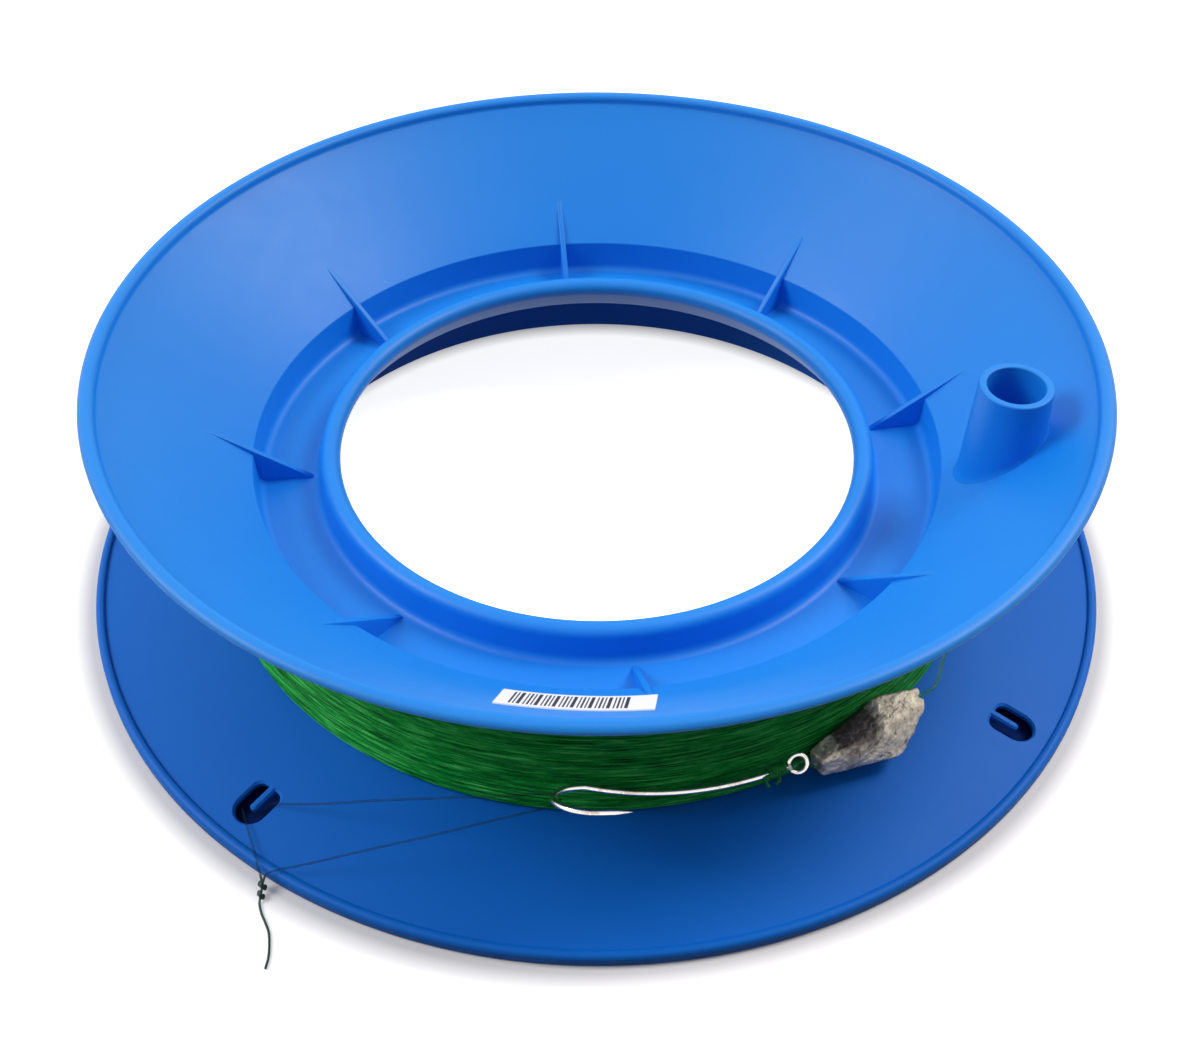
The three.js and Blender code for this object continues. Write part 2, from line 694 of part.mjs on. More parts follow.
// ---- sticker on the cone, a flat rectangle wrapped round it ----
function stickerBody() {
  const columns = 10;
  const rows = 2;
  const positions = [];
  const index = [];
  const slant = labelRadius / Math.cos(coneTilt);
  const turn = labelTurn * deg;
  const faceting = labelRadius * (1 - Math.cos(Math.PI / turnSteps));
  const under = seatGap + faceting;
  for (const lift of [under, under + labelThickness]) {
    for (let j = 0; j <= rows; j += 1) {
      for (let i = 0; i <= columns; i += 1) {
        const x = labelWidth * (i / columns - 0.5);
        const y = labelHeight * (j / rows - 0.5);
        const across = x * Math.cos(turn) - y * Math.sin(turn);
        const down = slant + x * Math.sin(turn) + y * Math.cos(turn);
        const radius = Math.hypot(across, down) * Math.cos(coneTilt);
        const azimuth = labelAzimuth + Math.atan2(across, down) / Math.cos(coneTilt) / deg;
        const point = ring(azimuth, radius - lift * Math.sin(coneTilt),
          coneHeight(radius) + lift * Math.cos(coneTilt));
        positions.push(point.x, point.y, point.z);
      }
    }
  }
  const width = columns + 1;
  const layer = width * (rows + 1);
  const quad = (a, b, c, d) => index.push(a, b, c, a, c, d);
  for (let j = 0; j < rows; j += 1) {
    for (let i = 0; i < columns; i += 1) {
      const a = j * width + i;
      quad(a, a + width, a + width + 1, a + 1);
      quad(layer + a, layer + a + 1, layer + a + width + 1, layer + a + width);
    }
  }
  for (let i = 0; i < columns; i += 1) {
    const far = rows * width + i;
    quad(i, i + 1, layer + i + 1, layer + i);
    quad(far + 1, far, layer + far, layer + far + 1);
  }
  for (let j = 0; j < rows; j += 1) {
    const near = j * width;
    const far = near + columns;
    quad(near + width, near, layer + near, layer + near + width);
    quad(far, far + width, layer + far + width, layer + far);
  }
  const geometry = new THREE.BufferGeometry();
  geometry.setAttribute('position', new THREE.Float32BufferAttribute(positions, 3));
  geometry.setIndex(index);
  return geometryOf(solid(geometry));
}

// ---- materials ----
const finish = (color, roughness, metalness = 0) =>
  new THREE.MeshStandardMaterial({ color, roughness, metalness });
const bluePlastic = finish(0x2374d6, 0.42);
const darkBluePlastic = finish(0x1b5fb8, 0.42);
const greenLine = finish(0x1f7a34, 0.3);
const darkLine = finish(0x2c3a36, 0.4);
const hookSteel = finish(0xc9cdc8, 0.22, 1);
const castLead = finish(0x8f8c85, 0.62, 1);
const paper = finish(0xf2f3f2, 0.6);

const spool = new THREE.Group();
spool.add(
  piece('casting_flange', castingFlange(), bluePlastic),
  piece('base_flange', baseFlange(), darkBluePlastic),
  piece('line_core', lineCore(), greenLine),
  piece('line_winding', lineWinding(), greenLine),
  piece('leader_line', cordTube(leaderPoints(), lineDiameter, leaderSteps), greenLine),
  piece('hook', hookBody(), hookSteel),
  piece('hook_knot', hookKnot(), greenLine),
  piece('sinker', sinkerBody(), castLead),
  piece('tether_line', cordTube(tetherPoints(), tetherDiameter, tetherSteps), darkLine),
  piece('tether_knot', tetherKnot(), darkLine),
  piece('tether_tail', cordTube(tetherTailPoints(), tetherDiameter, 14), darkLine),
  piece('label', stickerBody(), paper),
);

export default spool;
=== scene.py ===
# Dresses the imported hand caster: a blue moulded spool wound with green line, with its
# sinker, hook and tether. Lengths in the dictionaries are millimetres unless they say
# otherwise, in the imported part's own frame, and become metres in makePiece.
import random
from math import acos, atan, atan2, cos, degrees, hypot, pi, radians, sin

import bmesh
import bpy
from mathutils import Matrix, Vector, noise


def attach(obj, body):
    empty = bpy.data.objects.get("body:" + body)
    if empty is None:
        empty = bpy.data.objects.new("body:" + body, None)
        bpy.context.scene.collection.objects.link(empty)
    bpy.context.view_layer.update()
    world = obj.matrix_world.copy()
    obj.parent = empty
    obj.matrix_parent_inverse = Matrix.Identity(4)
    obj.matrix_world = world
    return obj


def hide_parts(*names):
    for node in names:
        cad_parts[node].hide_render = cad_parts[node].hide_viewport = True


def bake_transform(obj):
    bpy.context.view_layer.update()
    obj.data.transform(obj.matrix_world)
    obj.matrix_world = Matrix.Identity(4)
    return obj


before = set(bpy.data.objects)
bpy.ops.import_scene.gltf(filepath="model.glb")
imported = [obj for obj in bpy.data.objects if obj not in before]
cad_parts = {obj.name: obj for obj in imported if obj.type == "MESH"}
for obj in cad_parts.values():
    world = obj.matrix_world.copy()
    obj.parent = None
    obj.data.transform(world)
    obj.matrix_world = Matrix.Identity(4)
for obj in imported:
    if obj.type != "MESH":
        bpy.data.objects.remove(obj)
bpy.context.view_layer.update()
scene = bpy.context.scene
mm = 0.001
print("frame loaded")


# Camera, solved from the ellipses of both rims.
camera = {"at": (0.0, -264.006, 250.563), "aim": (0.64, -22.68, 24.89), "lens": 48.88, "rollDegrees": 0.30}


def makeObject(name, data):
    item = bpy.data.objects.new(name, data)
    scene.collection.objects.link(item)
    return item


def makeCamera():
    data = bpy.data.cameras.new("camera")
    data.lens = camera["lens"]
    data.sensor_width = 36
    data.clip_start = 0.01
    item = makeObject("camera", data)
    place = Vector(camera["at"]) * mm
    back = (place - Vector(camera["aim"]) * mm).normalized()
    right = Vector((0, 0, 1)).cross(back).normalized()
    up = back.cross(right)
    roll = radians(camera["rollDegrees"])
    turnedRight = right * cos(roll) + up * sin(roll)
    turnedUp = up * cos(roll) - right * sin(roll)
    matrix = Matrix((turnedRight, turnedUp, back)).transposed().to_4x4()
    matrix.translation = place
    item.matrix_world = matrix
    scene.camera = item


makeCamera()


# Small helpers.
def ringPoint(azimuth, radius, height):
    a = radians(azimuth)
    return Vector((radius * cos(a), radius * sin(a), height))


def smoothRun(points, perSpan, closed=False):
    # centripetal Catmull-Rom through the points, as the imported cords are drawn
    run = [Vector(p) for p in points]
    first = run[-1] if closed else run[0] * 2 - run[1]
    last = [run[0], run[1]] if closed else [run[-1] * 2 - run[-2]]
    run = [first] + run + last
    out = []
    for i in range(1, len(run) - 2):
        p0, p1, p2, p3 = run[i - 1:i + 3]
        t1 = max((p1 - p0).length, 1e-6) ** 0.5
        t2 = t1 + max((p2 - p1).length, 1e-6) ** 0.5
        t3 = t2 + max((p3 - p2).length, 1e-6) ** 0.5
        for k in range(perSpan):
            t = t1 + (t2 - t1) * k / perSpan
            a1 = p0 * ((t1 - t) / t1) + p1 * (t / t1)
            a2 = p1 * ((t2 - t) / (t2 - t1)) + p2 * ((t - t1) / (t2 - t1))
            a3 = p2 * ((t3 - t) / (t3 - t2)) + p3 * ((t - t2) / (t3 - t2))
            b1 = a1 * ((t2 - t) / t2) + a2 * (t / t2)
            b2 = a2 * ((t3 - t) / (t3 - t1)) + a3 * ((t - t1) / (t3 - t1))
            out.append(b1 * ((t2 - t) / (t2 - t1)) + b2 * ((t - t1) / (t2 - t1)))
    if not closed:
        out.append(run[-2].copy())
    return out


def arcRun(r, z, radius, start, end, steps):
    out = []
    for i in range(steps + 1):
        a = radians(start + (end - start) * i / steps)
        out.append(Vector((r + radius * cos(a), z + radius * sin(a))))
    return out


def spin(profile, steps):
    # a closed outline of (radius, height) turned round the axis
    count = len(profile)
    verts, faces = [], []
    for i in range(steps):
        a = 2 * pi * i / steps
        verts += [(r * cos(a), r * sin(a), z) for r, z in profile]
    for i in range(steps):
        j = (i + 1) % steps
        for k in range(count):
            n = (k + 1) % count
            faces.append((i * count + k, j * count + k, j * count + n, i * count + n))
    return verts, faces


def tubeAlong(centres, radius, sides, across=(0, 0, 1)):
    # a closed tube; radius is a number or a list with one for each centre
    radii = radius if isinstance(radius, list) else [radius] * len(centres)
    verts, faces = [], []
    side = Vector(across)
    last = len(centres) - 1
    for i, centre in enumerate(centres):
        along = (centres[min(i + 1, last)] - centres[max(i - 1, 0)]).normalized()
        side = (side - along * side.dot(along)).normalized()
        other = along.cross(side)
        for s in range(sides):
            a = 2 * pi * s / sides
            verts.append(centre + side * (radii[i] * cos(a)) + other * (radii[i] * sin(a)))
    for i in range(last):
        for s in range(sides):
            a, b = i * sides + s, i * sides + (s + 1) % sides
            faces.append((a, b, b + sides, a + sides))
    faces.append(tuple(range(sides - 1, -1, -1)))
    faces.append(tuple(last * sides + s for s in range(sides)))
    return verts, faces


def merged(*parts):
    verts, faces = [], []
    for partVerts, partFaces in parts:
        start = len(verts)
        verts += partVerts
        faces += [tuple(start + i for i in face) for face in partFaces]
    return verts, faces


def makePiece(name, shape, material, sharpDegrees=40.0):
    verts, faces = shape
    data = bpy.data.meshes.new(name)
    data.from_pydata([[c * mm for c in v] for v in verts], [], faces)
    data.update()
    item = makeObject(name, data)
    finishPiece(item, material, sharpDegrees)
    return item


def finishPiece(item, material, sharpDegrees):
    work = bmesh.new()
    work.from_mesh(item.data)
    bmesh.ops.recalc_face_normals(work, faces=work.faces)
    work.to_mesh(item.data)
    work.free()
    item.data.shade_smooth()
    item.data.set_sharp_from_angle(angle=radians(sharpDegrees))
    item.data.materials.clear()
    item.data.materials.append(material)


def shapeOf(work):
    work.verts.index_update()
    shape = [tuple(v.co) for v in work.verts], [tuple(v.index for v in f.verts) for f in work.faces]
    work.free()
    return shape


def bakeModifiers(item):
    graph = bpy.context.evaluated_depsgraph_get()
    baked = bpy.data.meshes.new_from_object(item.evaluated_get(graph))
    item.modifiers.clear()
    item.data = baked


def cutAway(item, cutters):
    for cutter in cutters:
        step = item.modifiers.new("cut", "BOOLEAN")
        step.operation = "DIFFERENCE"
        step.solver = "EXACT"
        step.object = cutter
    bakeModifiers(item)
    for cutter in cutters:
        bpy.data.objects.remove(cutter)


# Materials.
def hexColour(code):
    # sRGB hex to the linear values that the shaders take
    out = []
    for i in (0, 2, 4):
        c = int(code[i:i + 2], 16) / 255
        out.append(c / 12.92 if c <= 0.04045 else ((c + 0.055) / 1.055) ** 2.4)
    return (*out, 1.0)


def addNode(tree, kind, settings=None, links=None):
    # a link that names a node comes from that node's first output
    node = tree.nodes.new("ShaderNode" + kind)
    for key, value in (settings or {}).items():
        if isinstance(key, int) or key in node.inputs:
            node.inputs[key].default_value = value
        else:
            setattr(node, key, value)
    for key, source in (links or {}).items():
        socket = source.outputs[0] if isinstance(source, bpy.types.Node) else source
        tree.links.new(socket, node.inputs[key])
    return node


def newMaterial(name):
    # the material, its nodes and the link that lays a texture over the piece
    material = bpy.data.materials.new(name)
    material.use_nodes = True
    tree = material.node_tree
    tree.nodes.clear()
    place = addNode(tree, "TexCoord").outputs["Object"]
    return material, tree, {"Vector": place}


def showShader(material, shader):
    addNode(material.node_tree, "OutputMaterial", {}, {"Surface": shader})
    return material


def setRamp(node, stops):
    ramp = node.color_ramp
    while len(ramp.elements) > 1:
        ramp.elements.remove(ramp.elements[-1])
    ramp.elements[0].position, ramp.elements[0].color = stops[0]
    for position, colour in stops[1:]:
        ramp.elements.new(position).color = colour


def perMetre(sizeInMillimetres):
    # a noise scale whose features are about that size
    return 1000.0 / sizeInMillimetres


# Moulded polypropylene: waxy, slightly translucent, a soft sheen. The eye sees broad pale
# reflections, faint flow clouding and a mould grain, made coarser so that it shows.
spoolPlastic = {
    "colour": "0a7ddc", "clouded": "1085e2", "cloudSize": 42.0, "roughness": 0.47,
    "roughnessSpread": 0.06, "scuffSize": 6.0, "grainSize": 0.45, "grainDepth": 0.012, "ior": 1.49,
    "sheen": 0.4, "glowWeight": 0.05, "glowReach": 0.8,
}


def mouldedPolypropylene(name, look):
    material, tree, laid = newMaterial(name)
    cloud = addNode(tree, "TexNoise", {"Scale": perMetre(look["cloudSize"]), "Detail": 3.0}, laid)
    colour = addNode(tree, "Mix", {"data_type": "RGBA", 6: hexColour(look["colour"]),
                     7: hexColour(look["clouded"])}, {0: cloud})
    grain = addNode(tree, "TexNoise", {"Scale": perMetre(look["grainSize"]), "Detail": 2.0}, laid)
    scuff = addNode(tree, "TexNoise", {"Scale": perMetre(look["scuffSize"]), "Detail": 6.0,
                    "Roughness": 0.7}, laid)
    rough = addNode(tree, "MapRange", {"To Min": look["roughness"] - look["roughnessSpread"],
                    "To Max": look["roughness"] + look["roughnessSpread"]}, {"Value": scuff})
    bump = addNode(tree, "Bump", {"Strength": 0.5, "Distance": look["grainDepth"] * mm}, {"Height": grain})
    shader = addNode(tree, "BsdfPrincipled", {
        "IOR": look["ior"], "Specular IOR Level": look["sheen"], "Subsurface Weight": look["glowWeight"],
        "Subsurface Radius": (0.25, 0.55, 1.0), "Subsurface Scale": look["glowReach"] * mm,
    }, {"Base Color": colour.outputs[2], "Roughness": rough, "Normal": bump})
    return showShader(material, shader)


bluePolypropylene = mouldedPolypropylene("moulded polypropylene, blue", spoolPlastic)

# The base flange is the same plastic in a darker blue, painted shade from the casting flange overhead, and
# duller.
shadeDarkenedPlastic = dict(spoolPlastic, colour="0668cf", clouded="0a6fd6", roughness=0.5, sheen=0.18)
shadeDarkenedPolypropylene = mouldedPolypropylene("moulded polypropylene, blue, darkened as painted shade", shadeDarkenedPlastic)


# Extruded nylon monofilament: glassy green line. Streaks that run along the turns paint shade,
# almost black as between piled turns, and thin bright painted highlights.
lineNylon = {"colour": "089c3a", "paintedSheenStreak": "62e876", "paintedCreaseShade": "02320d", "paintedStreakSize": 9.0,
             "paintedStreakSquash": 22.0, "roughness": 0.38, "ior": 1.53, "sheen": 0.06, "cover": 1.0,
             "glow": 0.3, "glowReach": 1.0}


def extrudedNylon(name, look, clearness):
    material, tree, laid = newMaterial(name)
    # squashed in height, the noise runs along the turns
    stretch = addNode(tree, "Mapping", {"Scale": (1.0, 1.0, look["paintedStreakSquash"])}, laid)
    paintedSheenStreak = addNode(tree, "TexNoise", {"Scale": perMetre(look["paintedStreakSize"]), "Detail": 4.0,
                     "Roughness": 0.65}, {"Vector": stretch})
    # painted shade and painted highlights, streaked along the turns over the line's own green
    ramp = addNode(tree, "ValToRGB", {}, {"Fac": paintedSheenStreak})
    setRamp(ramp, [(0.3, hexColour(look["paintedCreaseShade"])), (0.5, hexColour(look["colour"])),
                   (0.72, hexColour(look["paintedSheenStreak"]))])
    shader = addNode(tree, "BsdfPrincipled", {
        "Roughness": look["roughness"], "IOR": look["ior"], "Specular IOR Level": look["sheen"],
        "Transmission Weight": clearness, "Alpha": look["cover"],
        "Subsurface Weight": look["glow"], "Subsurface Radius": (0.3, 1.0, 0.4),
        "Subsurface Scale": look["glowReach"] * mm,
    }, {"Base Color": ramp})
    return showShader(material, shader)


woundNylon = extrudedNylon("extruded nylon, green, wound", lineNylon, 0.0)
looseNylon = extrudedNylon("extruded nylon, green, knotted", dict(lineNylon, colour="129040",
                           paintedSheenStreak="4cc060", glow=0.0), 0.2)
leaderNylon = extrudedNylon("extruded nylon, green, single strand", dict(lineNylon, colour="259a5c",
                            paintedSheenStreak="58c48c", cover=0.5, glow=0.0), 0.3)

# The tether is a finer, smoke coloured line: it hardly shows over the flange, and turns dark
# only where it is knotted and in its end, seen against the light.
smokeNylon = dict(lineNylon, colour="14302e", paintedSheenStreak="20423c", paintedCreaseShade="0c1f1e", roughness=0.4, sheen=0.12,
                  cover=0.28, glow=0.0)
tetherNylon = extrudedNylon("extruded nylon, smoke, drawn out", smokeNylon, 0.0)
knottedNylon = extrudedNylon("extruded nylon, smoke, knotted", dict(smokeNylon, colour="46605a",
                             paintedSheenStreak="6d8478", paintedCreaseShade="22342f", cover=0.95), 0.0)

# Nickel plate over drawn steel wire: bright, slightly warm. Its fine draw marks are made
# coarser so that they show.
hookPlate = {"colour": "f6f0e6", "tarnish": "8a6f50", "tarnishSize": 7.0, "roughness": 0.22,
             "polish": 0.05, "dullness": 0.12, "markSize": 0.35, "markDepth": 0.01}


def platedSteel(name, look):
    material, tree, laid = newMaterial(name)
    cloud = addNode(tree, "TexNoise", {"Scale": perMetre(look["tarnishSize"]), "Detail": 5.0,
                    "Roughness": 0.7}, laid)
    ramp = addNode(tree, "ValToRGB", {}, {"Fac": cloud})
    setRamp(ramp, [(0.5, hexColour(look["colour"])), (0.7, hexColour(look["tarnish"]))])
    marks = addNode(tree, "TexNoise", {"Scale": perMetre(look["markSize"]), "Detail": 2.0}, laid)
    rough = addNode(tree, "MapRange", {"To Min": look["roughness"] - look["polish"],
                    "To Max": look["roughness"] + look["dullness"]}, {"Value": cloud})
    bump = addNode(tree, "Bump", {"Strength": 0.3, "Distance": look["markDepth"] * mm}, {"Height": marks})
    shader = addNode(tree, "BsdfPrincipled", {"Metallic": 1.0}, {
        "Base Color": ramp, "Roughness": rough, "Normal": bump})
    return showShader(material, shader)


nickelledSteel = platedSteel("nickel plated steel wire", hookPlate)

# Lead cast in a rough mould: dull grey with chalky yellowish bloom, dark in its pits.
leadCasting = {"colour": "948c80", "bloom": "e8dec6", "pit": "5a5250", "pitSize": 1.5,
               "bloomSize": 3.2, "roughness": 0.45, "polish": 0.1, "dullness": 0.15, "pitDepth": 0.3,
               # the dark patch by the nose is painted shade
               "metal": 0.5, "paintedShadePatch": "3b3034", "paintedShadeAt": (47.9, -67.9, 16.9), "paintedShadeReach": 7.2,
               "paintedShadeWander": 4.0}


def castLead(name, look):
    material, tree, laid = newMaterial(name)
    pits = addNode(tree, "TexNoise", {"Scale": perMetre(look["pitSize"]), "Detail": 5.0,
                   "Roughness": 0.62}, laid)
    bloom = addNode(tree, "TexNoise", {"Scale": perMetre(look["bloomSize"]), "Detail": 6.0,
                    "Roughness": 0.75}, laid)
    bloomed = addNode(tree, "ValToRGB", {}, {"Fac": bloom})
    setRamp(bloomed, [(0.38, hexColour(look["colour"])), (0.62, hexColour(look["bloom"]))])
    pitFac = addNode(tree, "MapRange", {"From Min": 0.3, "From Max": 0.42}, {"Value": pits})
    colour = addNode(tree, "Mix", {"data_type": "RGBA", 6: hexColour(look["pit"])}, {0: pitFac, 7: bloomed})
    # painted shade: a dark patch on the face by its nose, where the cone's rim shades it, with a broken edge
    away = addNode(tree, "VectorMath", {"operation": "DISTANCE",
                   1: tuple(c * mm for c in look["paintedShadeAt"])}, {0: laid["Vector"]})
    broken = addNode(tree, "Math", {"operation": "MULTIPLY_ADD", 1: look["paintedShadeWander"] * mm},
                     {0: bloom, 2: away.outputs["Value"]})
    paintedShadeMask = addNode(tree, "MapRange", {"From Min": (look["paintedShadeReach"] - 1.0) * mm,
                      "From Max": (look["paintedShadeReach"] + 1.0) * mm, "To Min": 0.9, "To Max": 0.0},
                      {"Value": broken})
    withPaintedShade = addNode(tree, "Mix", {"data_type": "RGBA", 7: hexColour(look["paintedShadePatch"])},
                   {0: paintedShadeMask, 6: colour.outputs[2]})
    rough = addNode(tree, "MapRange", {"To Min": look["roughness"] + look["dullness"],
                    "To Max": look["roughness"] - look["polish"]}, {"Value": pits})
    bump = addNode(tree, "Bump", {"Strength": 0.9, "Distance": look["pitDepth"] * mm}, {"Height": pits})
    shader = addNode(tree, "BsdfPrincipled", {"Metallic": look["metal"]}, {
        "Base Color": withPaintedShade.outputs[2], "Roughness": rough, "Normal": bump})
    return showShader(material, shader)


roughLead = castLead("cast lead", leadCasting)


# Coated label paper and its printed black: flat, with fibres made coarser so that they show.
labelStock = {"paper": "f0f1f3", "print": "17181c", "fibreSize": 0.5, "fibreDepth": 0.01}


def coatedPaper(name, code, roughness):
    material, tree, laid = newMaterial(name)
    fibre = addNode(tree, "TexNoise", {"Scale": perMetre(labelStock["fibreSize"]), "Detail": 4.0}, laid)
    bump = addNode(tree, "Bump", {"Strength": 0.2, "Distance": labelStock["fibreDepth"] * mm},
                   {"Height": fibre})
    shader = addNode(tree, "BsdfPrincipled", {"Base Color": hexColour(code),
                     "Roughness": roughness}, {"Normal": bump})
    return showShader(material, shader)


labelPaper = coatedPaper("coated label paper", labelStock["paper"], 0.5)
labelInk = coatedPaper("thermal print", labelStock["print"], 0.6)
print("materials made")


# Sizes shared by several pieces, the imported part's own.
cone = {"rimRadius": 101.6, "rimHeight": 55.6, "beadWidth": 3.3, "beadRise": 1.0, "wall": 1.5,
        "slope": 0.849, "lipRadius": 71.8, "troughDepth": 7.4, "draft": 0.6, "fillet": 1.8,
        "bore": 53.8, "ringWidth": 4.2, "ringDrop": 0.1, "lipRound": 0.5, "lipSink": 0.2, "lipInset": 0.25,
        # the bead: out from its foot and down from its top, then in from the rim and down
        "beadRun": [(0.22, 0.75), (0.75, 0.16), (1.65, 0.0)],
        "rimRun": [(0.6, 0.25), (0.0, 1.0), (0.5, 1.9), (1.4, 2.5)], "beadBlend": 0.4, "rimUnder": 2.6}
base = {"rimRadius": 108.6, "wall": 1.6, "slope": 0.1495, "beadWidth": 2.0, "beadRise": 0.8,
        "footWidth": 1.9, "footDrop": 0.5, "drumRadius": 75.1, "drumWall": 1.5}
line = {"diameter": 0.7, "packRadius": 80.0, "exitAzimuth": 4.0, "seat": 0.3}
coneTilt = atan(cone["slope"])
coneDrop = cone["wall"] / cos(coneTilt)
beadFoot = cone["rimRadius"] - cone["beadWidth"]
coneTop = cone["rimHeight"] - cone["beadRise"] - cone["slope"] * cone["beadWidth"] / 3
baseEdge = base["rimRadius"] - base["beadWidth"]
baseDrop = base["wall"] / cos(atan(base["slope"]))


def coneHeight(radius):
    return coneTop + (radius - beadFoot) * cone["slope"]


def baseHeight(radius):
    return base["footDrop"] + baseDrop + (baseEdge - radius) * base["slope"]


lipHeight = coneHeight(cone["lipRadius"])
troughFloor = lipHeight - cone["troughDepth"]
packBottom = baseHeight(line["packRadius"] * cos(pi / 24)) + line["seat"] + line["diameter"] / 2
packTop = (coneHeight(line["packRadius"] - 2.3) - coneDrop
           - (line["seat"] + line["diameter"] / 2) / cos(coneTilt))


# Hook: its frame is needed by the cords too.
hook = {"wire": 1.15, "shank": 39.85, "bendRadius": 6.9, "arm": 5.8, "bow": 3.0, "bowSpan": 20.0,
        "contact": 26.0, "contactAzimuth": -81.9, "contactHeight": 13.3, "tiltDegrees": 8.1,
        "turnDegrees": 33.5, "standOff": 0.8, "eyeRadius": 1.75, "eyeWire": 0.9, "snellFrom": 2.3,
        "snellLength": 3.9, "snellTurns": 6, "pointFrom": 0.45, "barbAt": 0.62}


def hookFrame():
    a = radians(hook["contactAzimuth"])
    out = Vector((cos(a), sin(a), 0))
    up = Vector((0, 0, 1))
    tilt, turn = radians(hook["tiltDegrees"]), radians(hook["turnDegrees"])
    along = Vector((out.y, -out.x, 0)) * cos(tilt) + up * sin(tilt)
    gap = out * cos(turn) + up * sin(turn)
    gap = (gap - along * gap.dot(along)).normalized()
    side = along.cross(gap)
    reach = line["packRadius"] + line["diameter"] / 2 + hook["wire"] / 2 + hook["standOff"]
    contact = out * reach + up * hook["contactHeight"]
    return along, gap, side, contact


hookAlong, hookGap, hookSide, hookTouch = hookFrame()


def onShank(distance, gap=0.0, side=0.0):
    t = distance - hook["contact"]
    bow = hook["bow"] * (t / hook["bowSpan"]) ** 2
    return hookTouch + hookAlong * t + hookSide * (bow + side) + hookGap * gap


def byEye(a, g, s):
    return onShank(0) + hookAlong * a + hookGap * g + hookSide * s


# Cords.
sinker = {"nose": (41.2, -73.4, 11.8), "axis": (0.809, 0.576, 0.109), "length": 26.2, "depth": 9.0,
          "height": 10.2, "back": 3.0, "noseSize": 4.8, "bore": 0.7}
sinkerAxis = Vector(sinker["axis"]).normalized()
leader = {
    "climb": [(-5.3, 81.05, 7.1), (-10, 81.15, 8.5), (-15, 81.2, 10.3), (-20, 81.25, 12.0),
              (-25, 81.4, 13.3), (-29, 81.9, 14.1), (-33, 82.8, 14.6), (-37, 84.1, 14.9)],
    "threaded": [29.4, 26, 20, 13, 6, 0, -0.5],
}
tether = {
    "diameter": 0.46, "clearance": 0.35,
    "toHook": [(-59.85, -92.0, 2.95), (-59.1, -91.6, 3.4), (-57.9, -91.15, 3.55), (-52.0, -90.8, 5.1),
               (-41.0, -90.4, 8.8), (-30.0, -90.05, 12.4), (-19.0, -89.65, 16.3)],
    "toSlot": [(-19.0, -85.6, 18.1), (-30.0, -83.3, 14.6), (-41.0, -81.0, 10.8), (-51.0, -78.9, 7.1),
               (-57.6, -77.5, 5.2), (-59.9, -76.85, 4.5), (-61.1, -76.45, 3.3), (-61.7, -76.25, 2.0),
               (-62.8, -76.1, 1.02), (-64.3, -76.0, 0.82), (-65.6, -76.2, 1.15), (-66.25, -76.8, 2.4),
               (-66.0, -77.8, 3.5), (-65.2, -79.9, 3.6), (-63.6, -84.0, 3.4), (-62.0, -88.2, 3.55),
               (-61.3, -90.3, 3.5), (-60.75, -91.5, 2.95)],
    "knotTop": (-60.25, -92.3, 2.15), "knotAxis": (-0.07, -0.9, -0.43), "knotLength": 3.4,
    "tail": [(-59.9, -98.0, 0.3), (-58.9, -100.0, 0.27), (-58.0, -102.0, 0.25), (-57.5, -104.6, 0.25),
             (-57.3, -107.0, 0.25), (-57.5, -109.3, 0.25)],
}


def packExit(distance):
    tangent = ringPoint(line["exitAzimuth"] - 90, 1, 0)
    return ringPoint(line["exitAzimuth"], line["packRadius"], packBottom) + tangent * distance


def leaderRoute():
    # from the pack over the turns, through the sinker and the hook's eye to the snell
    past = hook["eyeWire"] / 2 + line["seat"] + line["diameter"] / 2
    beside = hook["wire"] / 2 + line["seat"] + line["diameter"] / 2
    nose = Vector(sinker["nose"])
    points = [packExit(line["diameter"] + line["seat"]), packExit(6)]
    points += [ringPoint(*row) for row in leader["climb"]]
    points += [nose + sinkerAxis * a for a in leader["threaded"]]
    points += [byEye(-hook["eyeRadius"] - line["diameter"], -past, -line["diameter"]),
               byEye(-0.7 * hook["eyeRadius"], -past, 0), byEye(0, 0, 0),
               onShank(0.7 * hook["eyeRadius"], beside), onShank(hook["snellFrom"] + 0.4, beside)]
    return smoothRun(points, 6)


leaderPath = leaderRoute()
leaderLine = makePiece("leaderLine", tubeAlong(leaderPath, line["diameter"] / 2, 12), leaderNylon)


def tetherRoute():
    around = hook["wire"] / 2 + tether["clearance"] + tether["diameter"] / 2
    apex = onShank(hook["shank"]) + (hookGap + hookAlong) * hook["bendRadius"]
    bend = [(0.2, -around), (-around * 0.75, -around * 0.7), (-around, 0),
            (-around * 0.75, around * 0.7), (0.2, around)]
    turned = [apex + hookAlong * a + hookSide * s for a, s in bend]
    return smoothRun(tether["toHook"] + turned + tether["toSlot"], 6)


tetherPath = tetherRoute()
tetherLine = makePiece("tetherLine", tubeAlong(tetherPath, tether["diameter"] / 2, 12), tetherNylon)


def tetherKnotRoute():
    # two overhand knots drawn tight, one below the other
    axis = Vector(tether["knotAxis"]).normalized()
    side = axis.cross(Vector((0, 0, 1))).normalized()
    other = axis.cross(side)
    top = Vector(tether["knotTop"])
    points = []
    for knot in range(2):
        start = 0.15 + knot * tether["knotLength"] * 0.5
        for i in range(25):
            t = 2 * pi * i / 24
            wide = 0.5 - 0.08 * knot
            x = wide * (sin(t) + 0.55 * sin(2 * t))
            y = wide * (cos(t) - 0.55 * cos(2 * t)) * 0.8
            drop = start + 0.3 + 0.42 * sin(3 * t) + 0.9 * i / 24
            points.append(top + axis * drop + side * x + other * y)
    return smoothRun(points, 3)


